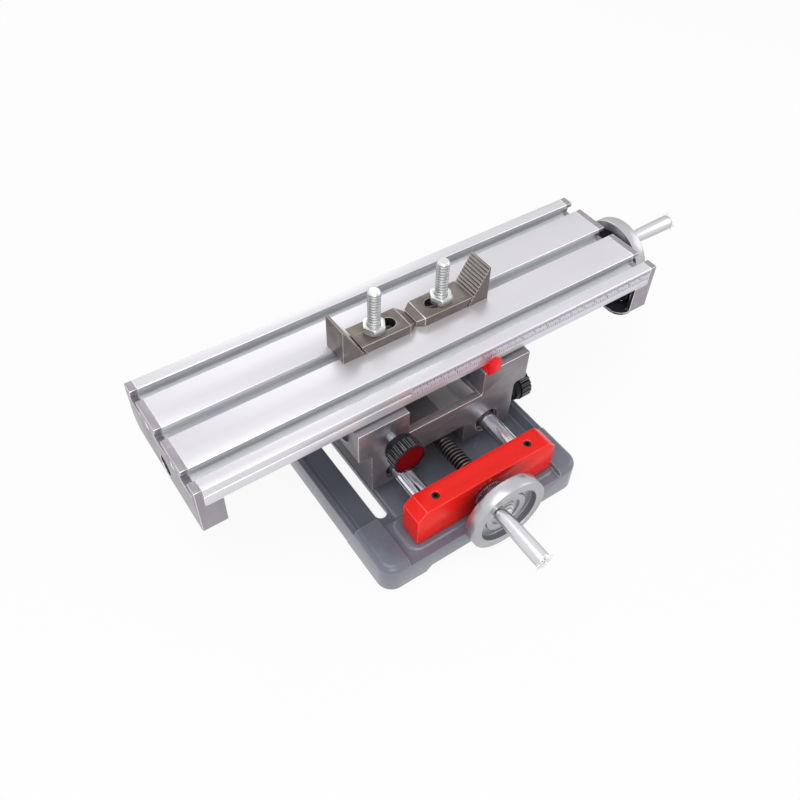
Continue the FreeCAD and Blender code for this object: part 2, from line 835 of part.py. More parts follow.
def saddle_casting():
    """Saddle: two legs on the short slide's rods and two ears on the long slide's rods."""
    half = [(leg_half_width, leg_bottom), (leg_half_width, ear_bottom), (ear_half_width, ear_bottom),
            (ear_half_width, ear_top), (ear_inner, ear_top), (ear_inner, recess_floor)]
    left = [(-x, z) for x, z in reversed(half)]
    notch = [(-notch_half_width, leg_bottom), (-notch_half_width, notch_top),
             (notch_half_width, notch_top), (notch_half_width, leg_bottom)]
    points = half + left + notch
    foot = recess_corner_radius
    inner = leg_corner_radius
    edge = saddle_edge_radius
    side = [foot, inner, edge, edge, edge, foot]
    radii = side + side[::-1] + [foot, inner, inner, foot]
    body = prism("y", points, -saddle_half_depth, saddle_half_depth, radii)
    inside = saddle_half_depth - lip_thickness
    tools = [box(-ear_inner, pocket_right, -inside, inside, platform_top, recess_floor + 1)]
    tools.append(box(platform_edge, pocket_right, -inside, inside, pocket_floor, platform_top))
    for side in (-1, 1):
        at = (side * x_rod_y, x_axis_height)
        tools.append(rod_passage("x", at, x_rod_radius, ear_half_width, x_bush_length))
        at = (side * y_rod_x, y_axis_height)
        tools.append(rod_passage("y", at, y_rod_radius, saddle_half_depth, y_bush_length))
    tools.append(rod("x", (0, x_axis_height), screw_passage_radius, -ear_half_width - 1,
                     ear_half_width + 1))
    tools.append(rod("y", (front_lock_x, front_lock_height), stud_radius + running_gap,
                     -saddle_half_depth - 1, -x_rod_y))
    tools.append(rod("x", (right_lock_y, y_axis_height), stud_radius + running_gap, y_rod_x,
                     leg_half_width + 1))
    for place in x_nut_screw_places():
        tools.append(rod("z", place, nut_screw_radius, platform_top - nut_screw_bite, platform_top + 1))
    for place in y_nut_screw_places():
        tools.append(rod("z", place, nut_screw_radius, notch_top - 1, pocket_floor + 1))
    tools.append(rod("z", pointer_screw_place(), pointer_screw_radius, ear_top - pointer_screw_length,
                     ear_top + 1))
    return minus(body, tools)


def x_nut():
    """Nut block of the long slide, bolted to the saddle's platform."""
    body = box(x_nut_left, x_nut_left + x_nut_length, -x_nut_half_width, x_nut_half_width,
               platform_top, x_nut_top)
    tools = [rod("x", (0, x_axis_height), thread_radius + running_gap, x_nut_left - 1,
                 x_nut_left + x_nut_length + 1)]
    seat = x_nut_top - nut_screw_head_height
    for place in x_nut_screw_places():
        tools.append(rod("z", place, nut_screw_radius, platform_top - 1, x_nut_top + 1))
        tools.append(rod("z", place, nut_screw_head_radius, seat, x_nut_top + 1))
    return minus(body, tools)


def y_nut():
    """Nut block of the short slide, hung in the saddle's notch."""
    body = box(-y_nut_half_width, y_nut_half_width, -y_nut_half_length, y_nut_half_length,
               y_nut_bottom, notch_top)
    tools = [rod("y", (0, y_axis_height), thread_radius + running_gap, -y_nut_half_length - 1,
                 y_nut_half_length + 1)]
    for place in y_nut_screw_places():
        tools.append(rod("z", place, nut_screw_radius, notch_top - nut_screw_bite, notch_top + 1))
    return minus(body, tools)


def nut_screws():
    """Four cap screws that hold the two nut blocks on the saddle."""
    down = Vec(0, 0, -1)
    screws = []
    seat = x_nut_top - nut_screw_head_height
    length = seat - platform_top + nut_screw_bite - screw_end_gap
    for x, y in x_nut_screw_places():
        screws.append(screw_with_socket(Vec(x, y, seat), down, nut_screw_radius, length,
                                        nut_screw_head_radius, nut_screw_head_height - head_sink,
                                        nut_screw_socket))
    length = pocket_floor - notch_top + nut_screw_bite - screw_end_gap
    for x, y in y_nut_screw_places():
        screws.append(screw_with_socket(Vec(x, y, pocket_floor), down, nut_screw_radius, length,
                                        nut_screw_head_radius, nut_screw_head_height - head_sink,
                                        nut_screw_socket))
    return Part.Compound(screws)


def pointer_screw_place():
    """Centre of the screw through the pointer's foot."""
    return (pointer_left + pointer_width / 2, pointer_screw_setback - saddle_half_depth)


def pointer():
    """Bent tab with a pointed blade, hooked over the front edge of the right ear."""
    right = pointer_left + pointer_width
    front = -saddle_half_depth - pointer_thickness
    foot_end = pointer_foot_length - saddle_half_depth
    low = ear_top - pointer_drop
    apex_x = pointer_left + pointer_width / 2 - pointer_apex_shift
    outline_points = [(pointer_left, low), (right, low), (right, pointer_shoulder),
                      (apex_x, pointer_apex), (pointer_left, pointer_shoulder)]
    blade = prism("y", outline_points, front, front + pointer_thickness,
                  [0, 0, pointer_apex_radius, pointer_apex_radius, pointer_left_radius])
    foot = box(pointer_left, right, -saddle_half_depth, foot_end, ear_top, ear_top + pointer_foot)
    body = fused([blade, foot])
    x, y = pointer_screw_place()
    sink = Part.makeCone(pointer_screw_radius, pointer_screw_head_radius, pointer_foot,
                         Vec(x, y, ear_top))
    return minus(body, [sink])


def pointer_screw():
    """Countersunk screw that holds the pointer's foot."""
    x, y = pointer_screw_place()
    tip = pointer_screw_end_gap - pointer_screw_length
    profile = [(0, pointer_foot), (pointer_screw_head_radius, pointer_foot), (pointer_screw_radius, 0),
               (pointer_screw_radius, tip), (0, tip)]
    body = turned(profile, Vec(x, y, ear_top), Vec(0, 0, 1))
    half = pointer_screw_slot_width / 2
    top = ear_top + pointer_foot
    slot = box(x - pointer_screw_head_radius, x + pointer_screw_head_radius, y - half, y + half,
               top - pointer_screw_slot_depth, top + 1)
    return body.cut(slot)


def lock_set(prefix, face, direction, seat, tip):
    """Write the knob, cap and stud of one lock.

    face: centre of the knob's outer end. direction: from the saddle to that end.
    seat and tip: distances from the outer end back to the saddle's face and to the stud's tip.
    """
    body = [(0, -knob_length), (knob_skirt_radius, -knob_length),
            (knob_skirt_radius, knob_skirt_length - knob_length),
            (knob_radius, knob_skirt_length - knob_length), (knob_radius, -knob_edge),
            (knob_radius - knob_edge, 0), (knob_cap_radius, 0), (knob_cap_radius, -knob_cap_thickness),
            (0, -knob_cap_thickness)]
    knob = turned(body, face, direction)
    stud_start = -knob_length + stud_bite
    hole = turned([(0, -knob_length - 1), (stud_radius, -knob_length - 1), (stud_radius, stud_start),
                   (0, stud_start)], face, direction)
    cap = turned([(0, -knob_cap_thickness), (knob_cap_radius, -knob_cap_thickness),
                  (knob_cap_radius, -knob_cap_sink), (0, -knob_cap_sink)], face, direction)
    collar_radius = stud_radius + stud_collar
    collar_end = stud_collar_gap - seat
    stud = turned([(0, stud_start), (stud_radius, stud_start), (stud_radius, -knob_length),
                   (collar_radius, -knob_length), (collar_radius, collar_end),
                   (stud_radius, collar_end), (stud_radius, stud_point - tip),
                   (stud_radius - stud_point, -tip), (0, -tip)], face, direction)
    save(prefix + "_lock_knob", knob.cut(hole))
    save(prefix + "_lock_cap", cap)
    save(prefix + "_lock_stud", stud)


def rod_block(front, rod_span, bush_seat_radius):
    """Cross block for the ends of the two rods and one end of the leadscrew."""
    half = block_half_width
    points = [(-half, block_bottom), (half, block_bottom), (half, block_top), (-half, block_top)]
    body = prism("y", points, front, front + block_thickness)
    tools = []
    for side in (-1, 1):
        for height, rise, size in ((block_top, 1, block_chamfer), (block_bottom, -1, block_foot_chamfer)):
            corner = [(side * (half - size), height + rise), (side * (half - size), height),
                      (side * half, height - rise * size), (side * (half + 1), height - rise * size),
                      (side * (half + 1), height + rise)]
            tools.append(prism("y", corner, front - 1, front + block_thickness + 1))
        at = (side * y_rod_x, y_axis_height)
        tools.append(rod("y", at, y_rod_radius, rod_span[0], rod_span[1]))
        middle = front + block_thickness / 2
        tools.append(rod("z", (side * y_rod_x, middle), grub_radius, y_axis_height, block_top + 1))
        screw = (side * block_screw_x, middle)
        tools.append(rod("z", screw, block_screw_radius, block_bottom - 1, screw_top()))
    tools.append(rod("y", (0, y_axis_height), bush_seat_radius, front - 1,
                     front + block_thickness + 1))
    return minus(body, tools)


def screw_top():
    """Height that the screws from below reach inside the blocks."""
    return block_screw_recess + block_screw_head_height + block_screw_length + screw_end_gap


def y_rod(side):
    """Guide rod of the short slide; side -1 is the left one."""
    return rod("y", (side * y_rod_x, y_axis_height), y_rod_radius, block_front + rod_block_cover,
               rear_block_end - rod_block_cover)


def grub_screws(middle):
    """Two socket grub screws that clamp the rods in one block."""
    tip = y_axis_height + y_rod_radius
    top = block_top - grub_recess
    screws = []
    for side in (-1, 1):
        x = side * y_rod_x
        profile = [(0, tip), (grub_radius - grub_point, tip), (grub_radius, tip + grub_point),
                   (grub_radius, top - screw_edge), (grub_radius - screw_edge, top), (0, top)]
        body = turned(profile, Vec(x, middle, 0), Vec(0, 0, 1))
        hole = hexagon(grub_socket, Vec(x, middle, top - grub_socket_depth), Vec(0, 0, 1),
                       grub_socket_depth + 1)
        screws.append(body.cut(hole))
    return Part.Compound(screws)


def block_screws():
    """Four cap screws that come up through the base into the two blocks."""
    seat = block_screw_recess + block_screw_head_height
    screws = []
    for middle in (block_middle, rear_block_middle):
        for side in (-1, 1):
            origin = Vec(side * block_screw_x, middle, seat)
            screws.append(screw_with_socket(origin, Vec(0, 0, 1), block_screw_radius,
                                            block_screw_length, block_screw_head_radius,
                                            block_screw_head_height, block_screw_socket))
    return Part.Compound(screws)


def base_slot(side):
    """Through slot along Y for a bench bolt; side -1 is the left one."""
    middle = base_centre + side * base_slot_x
    half = base_slot_width / 2
    reach = base_slot_length / 2
    return rounded_slab(middle - half, middle + half, base_middle - reach, base_middle + reach, -1,
                        base_pad_top + 1, half - arc_slack)


def base_blank():
    """Outer form of the base: rounded corners, raised corner pads and a plain rim between them."""
    blank = rounded_slab(base_left, base_right, base_front, base_rear, 0, base_pad_top,
                         base_corner_radius)
    blank = rounded_top(blank, base_pad_top, base_pad_top - base_rim)
    inner_x = base_half_width - base_pad_width
    beyond = base_pad_width
    across = rounded_slab(base_centre - inner_x, base_centre + inner_x, base_front - beyond,
                          base_rear + beyond, base_rim, base_pad_top + 1, base_pad_corner)
    along = rounded_slab(base_left - beyond, base_right + beyond, base_front + base_pad_length,
                         base_rear - base_pad_length, base_rim, base_pad_top + 1, base_pad_corner)
    return minus(blank, [across, along])


def base_well():
    """Sunken middle of the base, with sloped side walls, between the front and rear pads."""
    top = base_rim_width
    low = base_rim_width + base_slope
    front = base_front + base_pad_length
    rear = base_rear - base_pad_length
    section = [(base_left + low, base_floor), (base_left + top, base_rim),
               (base_left + top, base_rim + 1), (base_right - top, base_rim + 1),
               (base_right - top, base_rim), (base_right - low, base_floor)]
    well = prism("y", section, front, rear)
    step = box(base_centre - step_half_width, base_centre + step_half_width, front - 1, rear + 1,
               base_floor - 1, base_floor + step_height)
    inner_x = base_half_width - base_pad_width
    ends = box(base_centre - inner_x, base_centre + inner_x, block_back + plinth_inner_margin,
               rear_block_start - plinth_inner_margin, base_floor, base_rim + 1)
    return fused([well, ends]).cut(step)


def arch(start, end, height):
    """Outline of a low opening with sloped ends under one wall of the base."""
    return [(start, -1), (start, 0), (start + height, height), (end - height, height), (end, 0), (end, -1)]


def base_casting():
    """Base with feet, corner pads, block plinths, bench slots and a relieved underside."""
    body = base_blank().cut(base_well())
    plinths = []
    for low, high in ((block_front - plinth_margin, block_back + plinth_inner_margin),
                      (rear_block_start - plinth_inner_margin, rear_block_end + plinth_margin)):
        plinths.append(rounded_slab(-plinth_half_width, plinth_half_width, low, high, base_floor - 1,
                                    block_bottom, plinth_corner))
    body = fused([body] + plinths)
    wall = underside_wall
    hollow = rounded_slab(base_left + wall, base_right - wall, base_front + wall, base_rear - wall, -1,
                          underside_depth, base_corner_radius - wall)
    keep = [box(-underside_rib, underside_rib, base_front, base_rear, -2, underside_depth + 1)]
    tools = []
    for middle in (block_middle, rear_block_middle):
        for side in (-1, 1):
            at = (side * block_screw_x, middle)
            keep.append(rod("z", at, underside_boss, -2, underside_depth + 1))
            seat = block_screw_recess + block_screw_head_height
            tools.append(rod("z", at, block_screw_head_radius + block_screw_head_gap, -1,
                             seat))
            tools.append(rod("z", at, block_screw_radius + block_screw_gap, -1,
                             block_bottom + 1))
    tools.append(minus(hollow, keep))
    tools += [base_slot(-1), base_slot(1)]
    for low, high in ((base_front - 1, base_front + wall), (base_rear - wall, base_rear + 1)):
        tools.append(prism("y", arch(arch_left, arch_left + arch_length, arch_height), low, high))
    side_arch = arch(base_front + side_arch_margin, base_rear - side_arch_margin, side_arch_height)
    tools.append(prism("x", side_arch, base_left - 1, base_left + wall))
    tools.append(prism("x", side_arch, base_right - wall, base_right + 1))
    return minus(body, tools)


def step_block(back, towards):
    """Toothed wedge; `back` is the place of its upright face and `towards` points to the strap."""
    points = [(0, 0), (0, step_rise), (step_crest, step_rise)]
    run = step_base - step_crest
    length = math.hypot(run, step_rise)
    along = (run / length, -step_rise / length)
    inward = (-step_rise / length, -run / length)
    pitch = length / step_teeth
    for index in range(step_teeth):
        base = (step_crest + along[0] * pitch * index, step_rise + along[1] * pitch * index)
        if index > 0:
            points.append(base)
        valley = pitch * step_valley_share
        points.append((base[0] + along[0] * valley + inward[0] * step_tooth_depth,
                       base[1] + along[1] * valley + inward[1] * step_tooth_depth))
    points.append((step_base, 0))
    placed = [(back + towards * x, table_height + z) for x, z in points]
    return prism("y", placed, -clamp_half_width, clamp_half_width)


def strap_slope():
    """Run of the step block's slope for each millimetre of height."""
    return (step_base - step_crest) / step_rise


def strap(nose, length, slot_margin, towards):
    """Clamp strap lying on the table, with its nose at `nose` and its heel along the step block."""
    heel = -length
    heel_high = heel - strap_slope() * strap_thickness
    bevel_start = -strap_nose_bevel
    tip_height = strap_thickness - strap_nose_height
    side_view = [(heel, 0), (heel_high, strap_thickness), (bevel_start, strap_thickness),
                 (0, tip_height), (0, 0)]
    placed = [(nose + towards * x, table_height + z) for x, z in side_view]
    body = prism("y", placed, -clamp_half_width, clamp_half_width)
    for side in (-1, 1):
        corner = [(nose + towards * bevel_start, side * clamp_half_width),
                  (nose + towards, side * (clamp_half_width - strap_nose_side)),
                  (nose + towards, side * (clamp_half_width + 1)),
                  (nose + towards * bevel_start, side * (clamp_half_width + 1))]
        body = body.cut(prism("z", corner, table_height - 1, table_height + strap_thickness + 1))
    half = strap_slot_width / 2
    ends = sorted((nose - towards * slot_margin, nose - towards * (slot_margin + strap_slot_length)))
    slot = rounded_slab(ends[0], ends[1], -half, half, table_height - 1,
                        table_height + strap_thickness + 1, half - arc_slack)
    return body.cut(slot)


def t_bolt(x):
    """T-slot bolt with a square head in the cavity and a threaded shank above the table."""
    top = table_height + bolt_stand
    thread_start = table_height + bolt_plain_stand
    thread_end = top - bolt_point
    shank = [(0, cavity_top - 1), (bolt_radius, cavity_top - 1), (bolt_radius, thread_start)]
    shank += grooves(thread_start, thread_end, bolt_pitch, bolt_radius, bolt_thread_depth)
    shank += [(bolt_radius - bolt_point, top), (0, top)]
    half_length = bolt_head_length / 2
    half_width = bolt_head_width / 2
    half_neck = bolt_neck_width / 2
    head = box(x - half_length, x + half_length, -half_width, half_width,
               cavity_top - bolt_head_height, cavity_top)
    neck = box(x - half_neck, x + half_neck, -half_neck, half_neck, cavity_top - 1,
               table_height - bolt_neck_drop)
    return fused([head, neck, turned(shank, Vec(x, 0, 0), Vec(0, 0, 1))])


def hex_nut(x):
    """Hexagon nut on a clamp bolt, seated on the strap."""
    seat = table_height + strap_thickness
    body = hexagon(nut_across_flats, Vec(x, 0, seat), Vec(0, 0, 1), nut_height)
    corner = nut_across_flats / math.sqrt(3)
    top = seat + nut_height
    flat = corner - nut_chamfer_width
    envelope = turned([(0, seat), (flat, seat), (corner, seat + nut_chamfer_height),
                       (corner, top - nut_chamfer_height), (flat, top), (0, top)],
                      Vec(x, 0, 0), Vec(0, 0, 1))
    return body.common(envelope).cut(rod("z", (x, 0), bolt_radius + running_gap, seat - 1, top + 1))


save("base_casting", base_casting())
save("front_block", rod_block(block_front, (block_front + rod_block_cover, block_back + 1),
                              end_bore_radius))
save("rear_block", rod_block(rear_block_start, (rear_block_start - 1, rear_block_end - rod_block_cover),
                             rear_bush_radius))
save("y_rod_left", y_rod(-1))
save("y_rod_right", y_rod(1))
save("y_bush_front", front_bush())
save("y_bush_rear", rear_bush())
save("front_grub_screws", grub_screws(block_middle))
save("rear_grub_screws", grub_screws(rear_block_middle))
save("block_screws", block_screws())

save("saddle_casting", saddle_casting())
for name, side, end in (("front_left", -1, -1), ("front_right", 1, -1), ("rear_left", -1, 1),
                        ("rear_right", 1, 1)):
    save("y_rod_bush_" + name, rod_bush("y", (side * y_rod_x, y_axis_height), y_rod_radius,
                                        saddle_half_depth, y_bush_length, end))
for name, side in (("front", -1), ("back", 1)):
    pair = [rod_bush("x", (side * x_rod_y, x_axis_height), x_rod_radius, ear_half_width, x_bush_length,
                     end) for end in (-1, 1)]
    save("x_rod_bushes_" + name, Part.Compound(pair))
save("x_nut", x_nut())
save("y_nut", y_nut())
save("nut_screws", nut_screws())
save("pointer", pointer())
save("pointer_screw", pointer_screw())
lock_set("front", Vec(front_lock_x, front_lock_face, front_lock_height), Vec(0, -1, 0),
         -front_lock_face - saddle_half_depth, -front_lock_face - x_rod_y - x_rod_radius - lock_tip_gap)
lock_set("right", Vec(right_lock_face, right_lock_y, y_axis_height), Vec(1, 0, 0),
         right_lock_face - leg_half_width, right_lock_face - y_rod_x - y_rod_radius - lock_tip_gap)

save("table_plate", table_plate())
save("left_bracket", left_bracket())
save("right_bracket", right_bracket())
save("bracket_screws", bracket_screws())
save("x_rod_front", x_rod(-1))
save("x_rod_back", x_rod(1))
save("x_bush_left", left_bush())
save("x_bush_right", right_bush())
save("scale_strip", scale_strip())

save("x_leadscrew", x_screw())
drive_set("x", Vec(table_right + dial_gap, 0, x_axis_height), right_dial_length, Vec(1, 0, 0),
          right_handle_offset)
save("y_leadscrew", y_screw())
drive_set("y", Vec(0, block_front - dial_gap, y_axis_height), front_dial_length, Vec(0, -1, 0),
          front_handle_offset)

for name, length, margin, inset, towards in (
        ("left", left_strap_length, left_slot_margin, left_bolt_inset, 1),
        ("right", right_strap_length, right_slot_margin, right_bolt_inset, -1)):
    nose = table_left + strap_meeting - towards * strap_nose_gap / 2
    heel = nose - towards * length
    block_back_face = heel - towards * (step_base + strap_gap * math.hypot(1, strap_slope()))
    bolt_place = nose - towards * (margin + strap_slot_length - inset)
    save(name + "_step_block", step_block(block_back_face, towards))
    save(name + "_strap", strap(nose, length, margin, towards))
    save(name + "_clamp_bolt", t_bolt(bolt_place))
    save(name + "_clamp_nut", hex_nut(bolt_place))
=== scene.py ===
"""Looks of the cross slide table: finishes, fine meshes, studio floor, light and camera.

Lengths in the classes are millimetres; meshes are made in metres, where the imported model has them.
"""
import logging
import math
from dataclasses import dataclass, field, replace
from enum import Enum
from typing import Callable, ClassVar, Iterable, Optional, Sequence

import bmesh
import bpy
from mathutils import Matrix, Vector
from mathutils.bvhtree import BVHTree


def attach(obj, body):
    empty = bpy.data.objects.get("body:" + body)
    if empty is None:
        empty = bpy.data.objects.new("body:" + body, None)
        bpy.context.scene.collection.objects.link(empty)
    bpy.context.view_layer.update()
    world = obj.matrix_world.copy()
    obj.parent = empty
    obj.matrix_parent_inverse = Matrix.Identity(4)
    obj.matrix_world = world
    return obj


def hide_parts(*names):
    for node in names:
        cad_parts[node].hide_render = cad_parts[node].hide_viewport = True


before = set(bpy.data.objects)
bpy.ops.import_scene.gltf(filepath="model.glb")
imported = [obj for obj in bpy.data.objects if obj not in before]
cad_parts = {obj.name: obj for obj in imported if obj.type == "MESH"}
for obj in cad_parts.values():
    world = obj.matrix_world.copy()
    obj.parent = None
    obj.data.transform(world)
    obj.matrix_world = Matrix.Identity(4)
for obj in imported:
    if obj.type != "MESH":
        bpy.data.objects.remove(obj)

log = logging.getLogger("cross_slide")
MM = 0.001
WELD = 1e-7
LOOSE_WELD = 2e-6
FLAT_DEGREES = 0.4
NOISE_RANGE = (0.3, 0.7)
WHITE = (1.0, 1.0, 1.0)
CENTIMETRE = 10
Point = tuple[float, float]
Outline = tuple[Point, ...]
Place = tuple[float, float, float]
Box = tuple[Place, Place]
Colour = tuple[float, float, float]
Mesh = bmesh.types.BMesh


class Axis(Enum):
    """Directions that turned pieces follow."""

    X = (1.0, 0.0, 0.0)
    Y = (0.0, 1.0, 0.0)
    Z = (0.0, 0.0, 1.0)
    MINUS_Y = (0.0, -1.0, 0.0)

    def vector(self) -> Vector:
        """The direction as a vector."""
        return Vector(self.value)


class Slot(Enum):
    """Material slots of the record."""

    SLATE_PAINT = "slate_paint"
    RED_PAINT = "red_paint"
    RED_POINTER = "red_pointer"
    CHROME_ROD = "chrome_rod"
    MACHINED_IRON = "machined_iron"
    GROUND_IRON = "ground_iron"
    ANODISED_TABLE = "anodised_table"
    SCALE_PRINT = "scale_print"
    LEADSCREW_STEEL = "leadscrew_steel"
    DIAL_METAL = "dial_metal"
    TURNED_ALUMINIUM = "turned_aluminium"
    HANDLE_ALUMINIUM = "handle_aluminium"
    BRIGHT_CHROME = "bright_chrome"
    ZINC_STEEL = "zinc_steel"
    ZINC_BOLT = "zinc_bolt"
    PHOSPHATE_STEEL = "phosphate_steel"
    BLACK_PLASTIC = "black_plastic"
    DARK_RED_PLASTIC = "dark_red_plastic"


class Sheet:
    """Short way to add and join nodes in one node tree."""

    def __init__(self, tree: bpy.types.NodeTree) -> None:
        """Work on the given tree."""
        self.tree = tree

    def add(self, kind: str, settings: Optional[dict] = None, **inputs: object) -> bpy.types.Node:
        """Add a node.

        Args:
            kind: Blender's type name of the node.
            settings: properties set on the node itself.
            inputs: values or sockets for its inputs, by socket name with spaces as underscores, or
                by n and the input's number.

        Returns:
            The new node.
        """
        node = self.tree.nodes.new(kind)
        for name, value in (settings or {}).items():
            setattr(node, name, value)
        for name, value in inputs.items():
            key = int(name[1:]) if name[0] == "n" and name[1:].isdigit() else name.replace("_", " ")
            self.put(node.inputs[key], value)
        return node

    def put(self, socket: bpy.types.NodeSocket, value: object) -> None:
        """Feed an input.

        Args:
            socket: the input.
            value: a plain value, or an output socket to join to it.
        """
        if isinstance(value, bpy.types.NodeSocket):
            self.tree.links.new(value, socket)
        else:
            socket.default_value = value

    def maths(self, operation: str, *values: object) -> bpy.types.NodeSocket:
        """Add a Math node.

        Args:
            operation: its operation.
            values: one to three values or sockets.

        Returns:
            Its result.
        """
        node = self.tree.nodes.new("ShaderNodeMath")
        node.operation = operation
        for socket, value in zip(node.inputs, values):
            self.put(socket, value)
        return node.outputs[0]

    def spread(self, value: object, low: float, high: float, to_low: float = 0.0,
               to_high: float = 1.0) -> bpy.types.NodeSocket:
        """Move a value from one range to another and hold it there.

        Args:
            value: the value or socket.
            low: lower end of its range.
            high: upper end of its range.
            to_low: what the lower end becomes.
            to_high: what the upper end becomes.

        Returns:
            The moved value.
        """
        node = self.add("ShaderNodeMapRange", None, Value=value, From_Min=low, From_Max=high,
                        To_Min=to_low, To_Max=to_high)
        return node.outputs["Result"]

    def mix(self, share: object, first: object, second: object,
            blend: str = "MIX") -> bpy.types.NodeSocket:
        """Mix two colours.

        Args:
            share: share of the second colour.
            first: the first colour.
            second: the second colour.
            blend: Blender's name of the way to mix.

        Returns:
            The mixed colour.
        """
        node = self.tree.nodes.new("ShaderNodeMix")
        node.data_type = "RGBA"
        node.blend_type = blend
        self.put(node.inputs[0], share)
        self.put(node.inputs[6], first)
        self.put(node.inputs[7], second)
        return node.outputs[2]

    def shaded(self, colour: object, shade: object) -> bpy.types.NodeSocket:
        """Colour times a grey value."""
        tone = self.add("ShaderNodeCombineColor", None, Red=shade, Green=shade, Blue=shade)
        return self.mix(1.0, colour, tone.outputs[0], "MULTIPLY")

    def surface(self, kind: str, shader: bpy.types.NodeSocket) -> None:
        """Join a shader to a new output node of the given type."""
        self.put(self.add(kind).inputs["Surface"], shader)


def fresh_sheet(holder: bpy.types.Material | bpy.types.World) -> Sheet:
    """Turn on nodes and clear them.

    Args:
        holder: a new material or world.

    Returns:
        The sheet of its empty node tree.
    """
    holder.use_nodes = True
    holder.node_tree.nodes.clear()
    return Sheet(holder.node_tree)


def rgba(colour: Colour) -> tuple[float, float, float, float]:
    """Colour with full opacity."""
    return (*colour, 1.0)


def effect_group(name: str, inputs: dict[str, object],
                 outputs: Sequence[str]) -> tuple[Sheet, Sequence, Sequence]:
    """Start a shader node group.

    Args:
        name: the group's name.
        inputs: default by name; three numbers make a vector, one a plain value, and None a vector
            that is always joined.
        outputs: names of its plain values.

    Returns:
        Its sheet, the sockets that carry its inputs and those that take its outputs.
    """
    tree = bpy.data.node_groups.new(name, "ShaderNodeTree")
    for key, default in inputs.items():
        kind = "NodeSocketFloat" if isinstance(default, float) else "NodeSocketVector"
        socket = tree.interface.new_socket(name=key, in_out="INPUT", socket_type=kind)
        if default is not None:
            socket.default_value = default
    for key in outputs:
        tree.interface.new_socket(name=key, in_out="OUTPUT", socket_type="NodeSocketFloat")
    source = tree.nodes.new("NodeGroupInput").outputs
    target = tree.nodes.new("NodeGroupOutput").inputs
    return Sheet(tree), source, target


